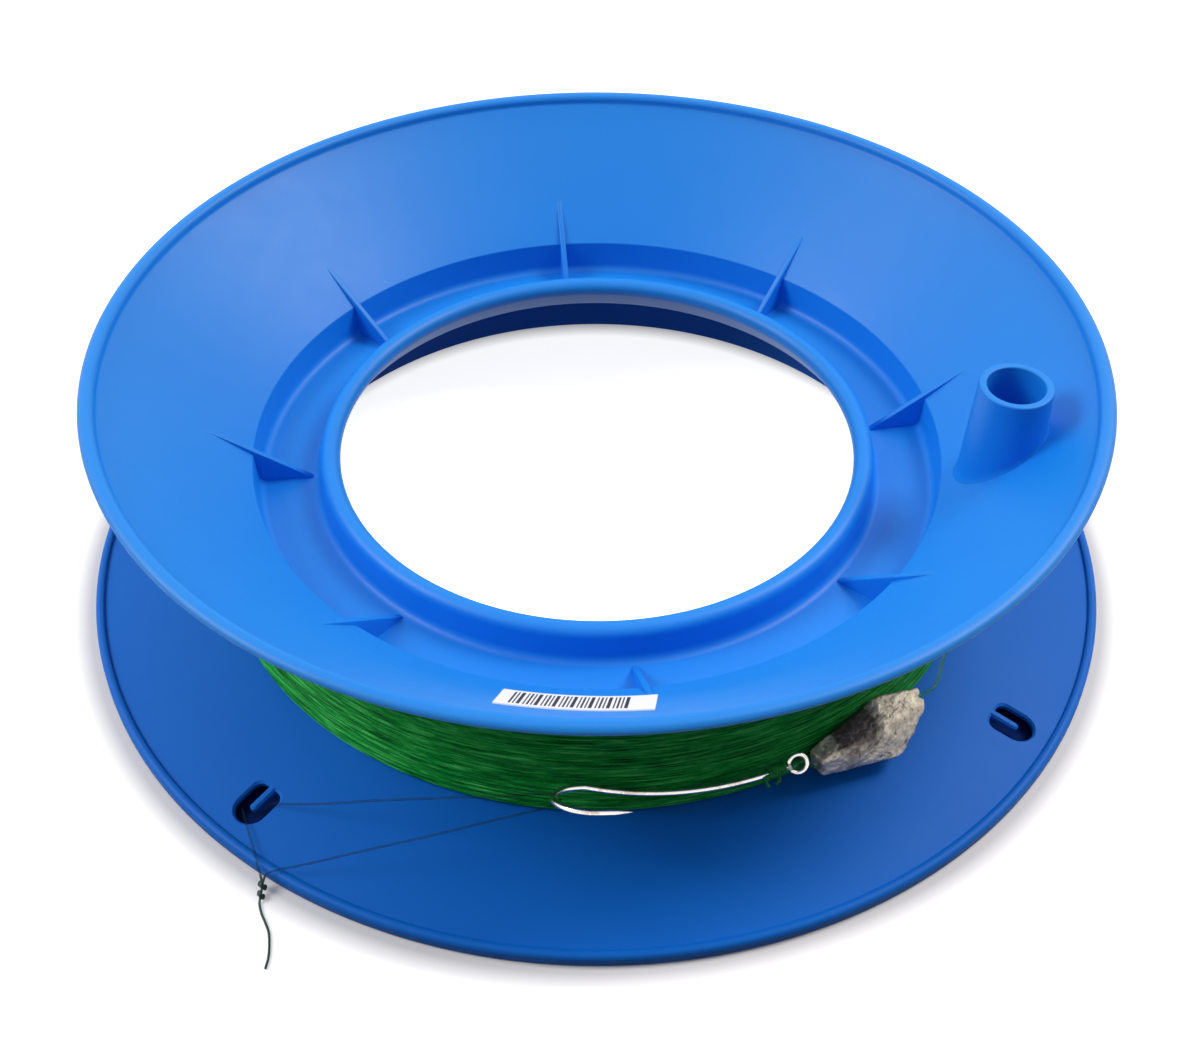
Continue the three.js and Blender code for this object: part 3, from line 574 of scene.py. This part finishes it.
def tetherKnotShape():
    # the knot and both strands that come together in it
    route = tetherKnotRoute()
    half = tether["diameter"] / 2
    legs = []
    for end in (tetherPath[0], tetherPath[-1]):
        slack = (end + route[0]) / 2 + Vector((0, -0.15, 0.1))
        legs.append(tubeAlong(smoothRun([end, slack, route[0]], 6), half, 10))
    return merged(tubeAlong(route, half, 10), *legs)


tetherKnot = makePiece("tetherKnot", tetherKnotShape(), knottedNylon)


def tetherTailRoute():
    axis = Vector(tether["knotAxis"]).normalized()
    foot = Vector(tether["knotTop"]) + axis * (tether["knotLength"] - 0.5)
    return smoothRun([foot, foot + axis * 1.2] + tether["tail"], 8)


tetherTail = makePiece("tetherTail", tubeAlong(tetherTailRoute(), tether["diameter"] / 2, 12), knottedNylon)
print("cords laid")


# Casting flange.
flangeSteps = 288
rib = {"azimuths": [9.8, 53.0, 96.8, 140.9, 185.8, 231.1, 276.9, 322.5], "thickness": 1.2,
       "reach": 8.1, "toe": 2.0, "slope": 0.71, "edgeRound": 0.22}
tube = {"orbit": 82.4, "azimuth": -11.3, "proud": 0.9, "radius": 7.2, "bore": 5.7, "taper": 0.045,
        "lipRound": 0.3, "footRound": 0.7, "sunk": 0.6, "steps": 96, "rows": 14}


def castingProfile():
    crown = cone["ringWidth"] / 2
    under = troughFloor - cone["wall"]
    ringFoot = cone["bore"] + cone["ringWidth"] + cone["draft"] / 2
    wallFoot = cone["lipRadius"] - cone["draft"]
    outer = cone["lipRadius"] + cone["wall"]
    fillet, top = cone["fillet"], cone["rimHeight"]

    def underside(r):
        return coneHeight(r) - coneDrop

    # the ring's inner face is the line that touches its crown and the bend under the trough
    bend = fillet + cone["wall"]
    crownHeight = lipHeight + cone["ringDrop"] - crown
    across = ringFoot + fillet - cone["bore"] - crown
    down = crownHeight - troughFloor - fillet
    spread = acos((crown - bend) / hypot(across, down))
    face = 360 - degrees(atan2(down, across) + spread)
    points = arcRun(ringFoot + fillet, troughFloor + fillet, bend, 270, face, 8)
    points += arcRun(cone["bore"] + crown, crownHeight, crown, face, 0, 20)
    points += arcRun(ringFoot + fillet, troughFloor + fillet, fillet, 180, 270, 8)
    points += arcRun(wallFoot - fillet, troughFloor + fillet, fillet, 270, 360, 8)
    lip = cone["lipRound"]
    lipCentre = lipHeight + lip * cone["slope"] - lip / cos(coneTilt) - cone["lipSink"]
    points += arcRun(cone["lipRadius"] - cone["lipInset"] + lip, lipCentre, lip,
                     180, 90 + degrees(coneTilt), 6)
    points += [(r, coneHeight(r)) for r in (78.0, 85.0, 92.0)]
    start, end = beadFoot - cone["beadBlend"], cone["rimRadius"] - cone["rimUnder"]
    bead = [(start, coneHeight(start)), (beadFoot, coneTop + 0.12)]
    bead += [(beadFoot + out, top - down) for out, down in cone["beadRun"]]
    bead += [(cone["rimRadius"] - back, top - down) for back, down in cone["rimRun"]]
    bead += [(end, underside(end))]
    points += smoothRun(bead, 4)
    points += [(r, underside(r)) for r in (92.0, 85.0, 78.0, outer)]
    points += arcRun(outer - 1.2, under + 1.2, 1.2, 0, -90, 5)
    return points


def ribShape(azimuth):
    tip = cone["lipRadius"] + rib["reach"]
    toe = cone["bore"] + cone["ringWidth"] + rib["toe"]
    high = coneHeight(tip)
    half = cone["wall"] / 2
    outline = [(tip, high + 0.02), (toe, high - (tip - toe) * rib["slope"]),
               (toe - 0.4, troughFloor - half), (cone["lipRadius"], troughFloor - half),
               (cone["lipRadius"] + half, lipHeight - half), (tip, high - half)]
    work = bmesh.new()
    sides = []
    for offset in (-rib["thickness"] / 2, rib["thickness"] / 2):
        sides.append([work.verts.new((r, offset, z)) for r, z in outline])
    work.faces.new(sides[0])
    work.faces.new(reversed(sides[1]))
    for i in range(len(outline)):
        n = (i + 1) % len(outline)
        work.faces.new((sides[0][n], sides[0][i], sides[1][i], sides[1][n]))
    work.edges.ensure_lookup_table()
    topEdges = [e for e in work.edges if abs(e.verts[0].co.y - e.verts[1].co.y) < 1e-6
                and {round(v.co.x, 3) for v in e.verts} == {round(tip, 3), round(toe, 3)}]
    bmesh.ops.bevel(work, geom=topEdges, offset=rib["edgeRound"], segments=3, profile=0.5, affect="EDGES")
    work.transform(Matrix.Rotation(radians(azimuth), 4, "Z"))
    return shapeOf(work)


def tubeShape():
    # outside, rounded mouth and bore, each column ending inside the cone's wall
    top = cone["rimHeight"] + tube["proud"]
    mouth = top - tube["lipRound"]
    centre = ringPoint(tube["azimuth"], tube["orbit"], 0)
    rows = tube["rows"]

    def meets(a, inside):
        # height at which this column of the tube enters the cone
        low, high = lipHeight - 4, top
        for _ in range(40):
            z = (low + high) / 2
            radius = tube["bore"] if inside else tube["radius"] + tube["taper"] * (top - z)
            r = (centre + Vector((cos(a), sin(a), 0)) * radius).length
            if z > coneHeight(max(r, cone["lipRadius"])):
                high = z
            else:
                low = z
        return (low + high) / 2

    verts, faces = [], []
    for i in range(tube["steps"]):
        a = 2 * pi * i / tube["steps"]
        outward = Vector((cos(a), sin(a), 0))
        footOut, footIn = meets(a, False), meets(a, True)
        column = []
        for k in range(rows + 1):
            z = footOut - tube["sunk"] + (mouth - footOut + tube["sunk"]) * (k / rows) ** 1.6
            radius = tube["radius"] + tube["taper"] * (top - z)
            rise = max(z - footOut, 0) / tube["footRound"]
            radius += tube["footRound"] * max(0.0, 1 - rise) ** 2 * 0.6
            column.append((radius, z))
        column += arcRun(tube["radius"] - tube["lipRound"], mouth, tube["lipRound"], 0, 90, 4)
        column += arcRun(tube["bore"] + tube["lipRound"], mouth, tube["lipRound"], 90, 180, 4)
        column += [(tube["bore"], mouth + (footIn - tube["sunk"] - mouth) * k / 6) for k in range(1, 7)]
        count = len(column)
        for radius, z in column:
            verts.append(centre + outward * radius + Vector((0, 0, z)))
    for i in range(tube["steps"]):
        j = (i + 1) % tube["steps"]
        for k in range(count - 1):
            faces.append((i * count + k, j * count + k, j * count + k + 1, i * count + k + 1))
    return verts, faces


castingShape = merged(spin(castingProfile(), flangeSteps), tubeShape(),
                      *[ribShape(a) for a in rib["azimuths"]])
castingFlange = makePiece("castingFlange", castingShape, bluePolypropylene, 50)
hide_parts("casting_flange")
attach(castingFlange, "spool")
print("casting flange moulded")


# Base flange.
slotHole = {"centre": 99.2, "length": 8.6, "width": 6.6, "azimuths": [-130.1, -34.2, 49.9, 145.8],
            "tongueLength": 5.5, "tongueWidth": 1.6, "corner": 1.9, "chamfer": 0.4}


def baseProfile():
    foot = base["rimRadius"] - 0.5 - base["footWidth"]
    crown = baseHeight(baseEdge) + base["beadRise"]
    bore = base["drumRadius"] - base["drumWall"]

    def seat(r):
        return coneHeight(r) - coneDrop - line["seat"] / cos(coneTilt)

    def under(r):
        return baseHeight(r) - baseDrop

    drum = base["drumRadius"]
    points = [(bore, under(bore)), (bore, seat(bore)), (drum, seat(drum)), (drum, baseHeight(drum) + 0.4),
              (drum + 0.4, baseHeight(drum + 0.4))]
    points += [(r, baseHeight(r)) for r in (80.0, 86.0, 92.0, 98.0, 103.0)]
    rim = [(baseEdge - 0.5, baseHeight(baseEdge - 0.5)), (baseEdge, baseHeight(baseEdge) + 0.06),
           (baseEdge + 0.3, crown - 0.18), (baseEdge + 1.0, crown), (base["rimRadius"] - 0.3, crown - 0.3),
           (base["rimRadius"], crown - 0.8)]
    points += smoothRun(rim, 4)
    points += arcRun(base["rimRadius"] - 0.5, 0.5, 0.5, 0, -90, 4)
    points += [(foot, 0.0), (foot - 0.4, under(foot - 0.4))]
    points += [(r, under(r)) for r in (103.0, 98.0, 92.0, 86.0, 80.0)]
    return points


def slotOutline(grow):
    # the D-shaped hole with the tongue left standing in it; grow widens the hole all round
    half = slotHole["width"] / 2 + grow
    tongue = slotHole["tongueWidth"] / 2 - grow
    corner = slotHole["corner"]
    endCentre = slotHole["length"] - slotHole["width"] / 2
    tipCentre = slotHole["tongueLength"] - slotHole["tongueWidth"] / 2
    turns = [pi / 2 * i / 6 for i in range(7)]
    points = [(-grow, tongue)]
    points += [(-grow + corner * (1 - cos(a)), half - corner * (1 - sin(a))) for a in turns]
    points += [(endCentre + half * sin(a), half * cos(a))
               for a in [pi * i / 20 for i in range(21)]]
    points += [(-grow + corner * (1 - sin(a)), -half + corner * (1 - cos(a))) for a in turns]
    points += [(-grow, -tongue)]
    points += [(tipCentre + tongue * cos(a), tongue * sin(a))
               for a in [pi * (i / 12 - 0.5) for i in range(13)]]
    return points


def slotCutter(azimuth, levels):
    # levels are (height over the flange's middle, growth) pairs, lowest first
    verts, faces = [], []
    rings = [slotOutline(grow) for _, grow in levels]
    count = len(rings[0])
    lean = atan(base["slope"])
    middle = baseHeight(slotHole["centre"]) - baseDrop / 2
    place = (Matrix.Rotation(radians(azimuth), 4, "Z")
             @ Matrix.Translation((slotHole["centre"], 0, middle)) @ Matrix.Rotation(lean, 4, "Y"))
    for (height, _), outline in zip(levels, rings):
        verts += [place @ Vector((x - slotHole["length"] / 2, y, height)) for x, y in outline]
    for k in range(len(levels) - 1):
        for i in range(count):
            n = (i + 1) % count
            faces.append((k * count + i, k * count + n, (k + 1) * count + n, (k + 1) * count + i))
    faces.append(tuple(reversed(range(count))))
    faces.append(tuple((len(levels) - 1) * count + i for i in range(count)))
    return makePiece("slotCutter", (verts, faces), shadeDarkenedPolypropylene)


baseFlange = makePiece("baseFlange", spin(baseProfile(), flangeSteps), shadeDarkenedPolypropylene)
halfWall = base["wall"] / 2
edge = slotHole["chamfer"]
slotLevels = [(-halfWall - 0.3, edge + 0.3), (-halfWall + edge, 0.0), (halfWall - edge, 0.0),
              (halfWall + 0.3, edge + 0.3)]
cutAway(baseFlange, [slotCutter(a, slotLevels) for a in slotHole["azimuths"]])
finishPiece(baseFlange, shadeDarkenedPolypropylene, 25)
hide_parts("base_flange")
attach(baseFlange, "spool")
print("base flange moulded")


# Wound line.
winding = {"pitch": 0.735, "startAzimuth": 96.0, "steps": 150, "sides": 8, "wander": 0.22, "seed": 7,
           "strayCount": 34, "strayLift": 0.2, "strayTuck": 0.75, "underRadius": 79.1, "scallop": 0.22}


def woundPath():
    turns = (packTop - packBottom) / winding["pitch"]
    steps = int(turns * winding["steps"])
    points = []
    for i in range(steps + 1):
        turned = turns * i / steps
        azimuth = winding["startAzimuth"] - 360 * turned
        a = radians(azimuth)
        lay = noise.noise(Vector((cos(a) * 1.3, sin(a) * 1.3, turned * 0.22 + 5)))
        lift = noise.noise(Vector((cos(a) * 2.1, sin(a) * 2.1, turned * 0.9 + 40)))
        fade = min(1.0, turned, turns - turned)
        height = packTop - winding["pitch"] * turned + winding["wander"] * lay * fade * 2
        points.append(ringPoint(azimuth, line["packRadius"] - 0.12 + 0.16 * lift, height))
    return points


def strayPath(azimuth, height, sweep, climb):
    # part of a turn laid over the others at a slant, both ends tucked under
    points = []
    steps = int(sweep / 2.5)
    for i in range(steps + 1):
        part = i / steps
        tuck = min(1.0, part * 9, (1 - part) * 9)
        radius = line["packRadius"] + winding["strayLift"] - winding["strayTuck"] * (1 - tuck)
        points.append(ringPoint(azimuth + sweep * part, radius, height + climb * part))
    return points


def strayPaths():
    dice = random.Random(winding["seed"])
    low, high = packBottom + 1.0, packTop - 1.5
    paths = []
    for _ in range(winding["strayCount"]):
        start = dice.uniform(low, high)
        end = min(max(start + dice.uniform(-4.5, 4.5), low), high)
        paths.append(strayPath(dice.uniform(0, 360), start, dice.uniform(40, 130), end - start))
    return paths


def underTurns():
    # the turns below the outer ones: a ring down to the drum with a scalloped face
    inner = base["drumRadius"] + line["seat"]
    outer = winding["underRadius"]

    def floorAt(r):
        return baseHeight(r) + line["seat"]

    def roofAt(r):
        return coneHeight(r) - coneDrop - line["seat"] / cos(coneTilt)

    low, high = floorAt(outer), roofAt(outer)
    count = int((high - low) / winding["pitch"])
    profile = [(inner, floorAt(inner)), (inner, roofAt(inner)), (outer - 0.2, roofAt(outer - 0.2))]
    for i in range(count * 4, -1, -1):
        swell = winding["scallop"] * abs(sin(pi * i / 4))
        profile.append((outer + swell - 0.2, low + (high - low) * (i + 0.5) / (count * 4 + 1)))
    return spin(profile, 144)


def woundShape():
    half = line["diameter"] / 2
    strays = [tubeAlong(path, half, winding["sides"]) for path in strayPaths()]
    return merged(tubeAlong(woundPath(), half, winding["sides"]), underTurns(), *strays)


lineWound = makePiece("lineWound", woundShape(), woundNylon)
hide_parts("line_winding", "line_core")
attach(lineWound, "spool")
print("line wound")


# Hook.
def hookShape():
    wire = hook["wire"] / 2
    centres = [onShank(hook["eyeRadius"] + (hook["shank"] - hook["eyeRadius"]) * i / 32) for i in range(33)]
    bendCentre = onShank(hook["shank"]) + hookGap * hook["bendRadius"]
    for i in range(1, 33):
        a = pi * i / 32
        centres.append(bendCentre - hookGap * (hook["bendRadius"] * cos(a))
                       + hookAlong * (hook["bendRadius"] * sin(a)))
    radii = [wire] * len(centres)
    armStart = centres[-1]
    for i in range(1, 25):
        part = i / 24
        past = part - hook["pointFrom"]
        taper = 1.0 - 0.12 * part if past < 0 else 0.946 - past ** 1.25 * 1.98
        centres.append(armStart - hookAlong * (hook["arm"] * part) + hookGap * (0.25 * part * part))
        radii.append(wire * max(taper, 0.04))
    wireShape = tubeAlong(centres, radii, 20)
    eyeCentres = []
    across = hookAlong.cross(hookGap)
    for i in range(49):
        a = 2 * pi * (i / 48) * 0.985
        eyeCentres.append(onShank(0) + hookAlong * (hook["eyeRadius"] * cos(a))
                          + across * (hook["eyeRadius"] * sin(a)))
    eyeShape = tubeAlong(eyeCentres, hook["eyeWire"] / 2, 16, hookGap)
    barbRoot = armStart - hookAlong * (hook["arm"] * hook["barbAt"])
    barbRun = smoothRun([barbRoot - hookGap * (wire * out) + hookAlong * back
                         for out, back in ((0.15, 0), (0.9, 0.8), (1.5, 1.7), (2.0, 2.5))], 5)
    last = len(barbRun) - 1
    barbShape = tubeAlong(barbRun, [wire * (0.62 * (1 - i / last) + 0.04) for i in range(last + 1)], 12)
    return merged(wireShape, eyeShape, barbShape)


hookPiece = makePiece("hookWire", hookShape(), nickelledSteel)
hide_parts("hook")
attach(hookPiece, "hook")


def snellRoute():
    # the line's turns round the shank, then its cut end hanging
    radius = (hook["wire"] + line["diameter"]) / 2 + 0.03
    steps = hook["snellTurns"] * 20
    points = []
    for i in range(steps + 1):
        a = 2 * pi * i / 20
        s = hook["snellFrom"] + 0.35 + (hook["snellLength"] - 0.7) * i / steps
        points.append(onShank(s, radius * cos(a), radius * sin(a)))
    end = points[-1]
    points += [end + hookAlong * 0.3 - hookSide * 0.5 + hookGap * 0.2,
               end + hookAlong * 0.2 - hookSide * 1.3,
               end - hookAlong * 0.2 - hookSide * 2.0 + hookGap * 0.1]
    return points


def snellTag():
    start = onShank(hook["snellFrom"] + 1.4, 0.7, -0.9)
    run = [start, start - hookSide * 0.6 + hookGap * 0.3, start - hookSide * 1.4 + hookAlong * 0.4]
    return smoothRun(run, 5)


snellShape = merged(tubeAlong(smoothRun(snellRoute(), 2), line["diameter"] / 2, 12),
                    tubeAlong(snellTag(), line["diameter"] / 2, 12))
hookSnell = makePiece("hookSnell", snellShape, looseNylon)
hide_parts("hook_knot")
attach(hookSnell, "hook")
print("hook bent and whipped")


# Sinker.
def sinkerShape():
    out = Vector((sinkerAxis.y, -sinkerAxis.x, 0)).normalized()
    up = out.cross(sinkerAxis)
    nose = sinker["noseSize"] / 2
    backFace, front = -sinker["back"], sinker["depth"] - sinker["back"]
    low, high = -sinker["height"] / 2, sinker["height"] / 2
    length, belly = sinker["length"], sinker["length"] * 0.6
    corners = [
        (0, -nose, -nose * 0.9), (0, nose * 0.65, -nose * 0.7),
        (0, nose * 0.55, nose * 1.2), (0, -nose, nose * 1.1),
        (belly, front, low * 0.9), (belly * 0.88, front * 0.55, high * 0.62),
        (belly * 1.05, backFace, high * 0.9), (belly, backFace, low),
        (belly * 1.4, front * 0.45, low * 0.8), (length * 0.98, front * 0.3, -0.6),
        (length, backFace * 0.4, high * 0.25), (length * 0.93, backFace, low * 0.7),
    ]
    work = bmesh.new()
    for a, o, u in corners:
        work.verts.new(Vector(sinker["nose"]) + sinkerAxis * a + out * o + up * u)
    bmesh.ops.convex_hull(work, input=work.verts)
    bmesh.ops.dissolve_limit(work, angle_limit=radians(6), verts=work.verts, edges=work.edges)
    bmesh.ops.bevel(work, geom=work.edges[:], offset=0.5, segments=3, profile=0.6, affect="EDGES")
    return shapeOf(work)


sinkerPiece = makePiece("sinkerCasting", sinkerShape(), roughLead, 180)
middle = Vector(sinker["nose"]) + sinkerAxis * (sinker["length"] / 2)
borePath = [middle + sinkerAxis * d for d in (-sinker["length"], 0, sinker["length"])]
cutAway(sinkerPiece, [makePiece("sinkerBore", tubeAlong(borePath, sinker["bore"], 24), roughLead)])


def roughen(item, cell, depth):
    # cast skin: finer facets, then small dents and lumps pushed along the normals
    step = item.modifiers.new("finer", "REMESH")
    step.mode = "VOXEL"
    step.voxel_size = cell * mm
    bakeModifiers(item)
    data = item.data
    normals = [v.normal.copy() for v in data.vertices]
    for vertex, normal in zip(data.vertices, normals):
        p = vertex.co / mm
        amount = noise.fractal(p * 0.55, 0.9, 2.0, 4) * depth + noise.noise(p * 2.3) * depth * 0.5
        vertex.co += normal * (amount * mm)


roughen(sinkerPiece, 0.22, 0.16)
finishPiece(sinkerPiece, roughLead, 180)
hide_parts("sinker")
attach(sinkerPiece, "sinker")
print("sinker cast")


# Sticker.
sticker = {"width": 26.8, "height": 14.8, "thickness": 0.2, "azimuth": -92.2, "radius": 84.4,
           "turnDegrees": 2.4, "lift": 0.3, "barCount": 27, "barPitch": 3.0, "barStep": (0.9, 1.6, 2.2, 3.3),
           "barWidth": (0.35, 0.25, 0.6, 0.25), "barStart": 1.4, "barDepth": (1.6, 13.2)}


def onSticker(x, y, lift):
    # a flat rectangle wrapped round the cone: x along it, y down the slope
    slant = sticker["radius"] / cos(coneTilt)
    turn = radians(sticker["turnDegrees"])
    across = x * cos(turn) - y * sin(turn)
    down = slant + x * sin(turn) + y * cos(turn)
    radius = hypot(across, down) * cos(coneTilt)
    azimuth = sticker["azimuth"] + degrees(atan2(across, down) / cos(coneTilt))
    return ringPoint(azimuth, radius - lift * sin(coneTilt), coneHeight(radius) + lift * cos(coneTilt))


def wrappedPlate(x0, x1, y0, y1, low, high, columns, rows):
    verts, faces = [], []
    width = columns + 1
    layer = width * (rows + 1)
    for lift in (low, high):
        for j in range(rows + 1):
            for i in range(width):
                verts.append(onSticker(x0 + (x1 - x0) * i / columns, y0 + (y1 - y0) * j / rows, lift))
    for j in range(rows):
        for i in range(columns):
            a = j * width + i
            faces.append((a, a + width, a + width + 1, a + 1))
            faces.append((layer + a, layer + a + 1, layer + a + width + 1, layer + a + width))
    rim = list(range(columns)) + [columns + width * j for j in range(rows)]
    rim += [rows * width + i for i in range(columns, 0, -1)] + [width * j for j in range(rows, 0, -1)]
    for a, b in zip(rim, rim[1:] + rim[:1]):
        faces.append((a, b, layer + b, layer + a))
    return verts, faces


halfWide, halfHigh = sticker["width"] / 2, sticker["height"] / 2
paperTop = sticker["lift"] * 0.2 + sticker["thickness"]
paper = wrappedPlate(-halfWide, halfWide, -halfHigh, halfHigh, 0.02, paperTop, 40, 8)
stickerPiece = makePiece("sticker", paper, labelPaper, 30)
barTop, barFoot = (down - halfHigh for down in sticker["barDepth"])
barShapes = []
for i in range(sticker["barCount"]):
    group, k = divmod(i, len(sticker["barStep"]))
    x = sticker["barStart"] - halfWide + group * sticker["barPitch"] + sticker["barStep"][k]
    barShapes.append(wrappedPlate(x, x + sticker["barWidth"][k], barTop, barFoot, paperTop - 0.02,
                                  paperTop + 0.012, 2, 8))
stickerBars = makePiece("stickerBars", merged(*barShapes), labelInk, 30)
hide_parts("label")
for item in (stickerPiece, stickerBars):
    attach(item, "spool")
print("sticker wrapped")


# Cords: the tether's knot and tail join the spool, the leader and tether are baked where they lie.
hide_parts("leader_line")
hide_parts("tether_line")
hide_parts("tether_knot")
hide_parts("tether_tail")
for item in (tetherKnot, tetherTail):
    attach(item, "spool")
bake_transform(leaderLine)
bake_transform(tetherLine)
print("cords tied")


# Floor, light and background.
studio = {
    # floorSize and lampAim in metres
    # the dark ring on the floor under the base flange is painted shade
    "floorSize": 6.0, "floorColour": "e9eaec", "paintedUnderShade": "122a66", "bounceColour": "303236",
    "lampAim": (0, 0, 0.03), "floorLift": 0.5, "boreLift": 0.9, "liftInside": 84.0, "liftOutside": 110.0,
    "insideFade": 8.0, "outsideFade": 4.0, "underShadeFade": 0.5,
    "underShadeMiddle": 98.0, "underShadeReach": 8.5,
    # the room is bright behind the spool and dark in front: level = middle + direction . facing
    "roomMiddle": 0.43, "roomFacing": (-0.12, 0.39, 0.08), "roomLeast": 0.04,
    # softboxes: direction from the object, distance and size in metres, watts, colour
    "softboxes": [((0.62, 0.2, 0.759), 1.1, 0.46, 7.8, "fff7f2"),
                  ((-0.77, -0.05, 0.636), 1.1, 0.46, 6.6, "fff9f6")],
}


# The camera, and whatever mirrors or lets through, sees the white sweep.
def backgroundRays(tree):
    path = addNode(tree, "LightPath")
    bent = addNode(tree, "Math", {"operation": "MAXIMUM"},
                   {0: path.outputs["Is Glossy Ray"], 1: path.outputs["Is Transmission Ray"]})
    return addNode(tree, "Math", {"operation": "MAXIMUM"}, {0: path.outputs["Is Camera Ray"], 1: bent})


def makeFloor():
    size = studio["floorSize"] / 2
    data = bpy.data.meshes.new("floor")
    corners = [(x * size, y * size, 0) for x, y in ((-1, -1), (1, -1), (1, 1), (-1, 1))]
    data.from_pydata(corners, [], [(0, 1, 2, 3)])
    floor = makeObject("floor", data)
    material, tree, laid = newMaterial("studio floor")
    # the sweep is lifted to white where the spool doesn't stand on it
    out = addNode(tree, "VectorMath", {"operation": "LENGTH"}, {0: laid["Vector"]})
    near = addNode(tree, "MapRange", {"From Min": (studio["liftInside"] - studio["insideFade"]) * mm,
                   "From Max": studio["liftInside"] * mm, "To Min": studio["boreLift"], "To Max": 0.0},
                   {"Value": out.outputs["Value"]})
    far = addNode(tree, "MapRange", {"From Min": studio["liftOutside"] * mm,
                  "From Max": (studio["liftOutside"] + studio["outsideFade"]) * mm,
                  "To Min": 0.0, "To Max": studio["floorLift"]}, {"Value": out.outputs["Value"]})
    lift = addNode(tree, "Math", {"operation": "ADD"}, {0: near, 1: far})
    # painted shade: the floor under the base flange, which only the clip slots show, is coloured dark
    aside = addNode(tree, "Math", {"operation": "SUBTRACT", 1: studio["underShadeMiddle"] * mm},
                    {0: out.outputs["Value"]})
    reach = addNode(tree, "Math", {"operation": "ABSOLUTE"}, {0: aside})
    pale = addNode(tree, "MapRange", {"From Min": (studio["underShadeReach"] - studio["underShadeFade"]) * mm,
                   "From Max": studio["underShadeReach"] * mm}, {"Value": reach})
    colour = addNode(tree, "Mix", {"data_type": "RGBA", 6: hexColour(studio["paintedUnderShade"]),
                     7: hexColour(studio["floorColour"])}, {0: pale})
    lit = addNode(tree, "BsdfDiffuse", {}, {"Color": colour.outputs[2]})
    # what the floor throws back at the spool is darker than what the camera sees of it
    bounce = addNode(tree, "BsdfDiffuse", {"Color": hexColour(studio["bounceColour"])})
    glow = addNode(tree, "Emission", {}, {"Strength": lift})
    both = addNode(tree, "AddShader", {}, {0: lit, 1: glow})
    seen = addNode(tree, "MixShader", {}, {0: backgroundRays(tree), 1: bounce, 2: both})
    data.materials.append(showShader(material, seen))


def makeLights():
    for i, (direction, distance, size, watts, code) in enumerate(studio["softboxes"]):
        data = bpy.data.lights.new(f"softbox{i}", "AREA")
        data.shape = "SQUARE"
        data.size = size
        data.energy = watts
        data.color = hexColour(code)[:3]
        item = makeObject(f"softbox{i}", data)
        aim = Vector(studio["lampAim"])
        item.location = Vector(direction).normalized() * distance + aim
        item.rotation_mode = "QUATERNION"
        item.rotation_quaternion = (item.location - aim).to_track_quat("Z", "Y")


def makeWorld():
    world = bpy.data.worlds.new("studio")
    scene.world = world
    world.use_nodes = True
    tree = world.node_tree
    tree.nodes.clear()
    place = addNode(tree, "TexCoord")
    facing = addNode(tree, "VectorMath", {"operation": "DOT_PRODUCT", 1: studio["roomFacing"]},
                     {0: place.outputs["Generated"]})
    level = addNode(tree, "Math", {"operation": "ADD", 1: studio["roomMiddle"]}, {0: facing.outputs["Value"]})
    room = addNode(tree, "Math", {"operation": "MAXIMUM", 1: studio["roomLeast"]}, {0: level})
    strength = addNode(tree, "Mix", {"data_type": "FLOAT", 3: 1.0}, {0: backgroundRays(tree), 2: room})
    back = addNode(tree, "Background", {"Color": (1, 1, 1, 1)}, {"Strength": strength})
    addNode(tree, "OutputWorld", {}, {"Surface": back})


makeFloor()
makeLights()
makeWorld()
scene.view_settings.view_transform = "Standard"
print("studio lit")
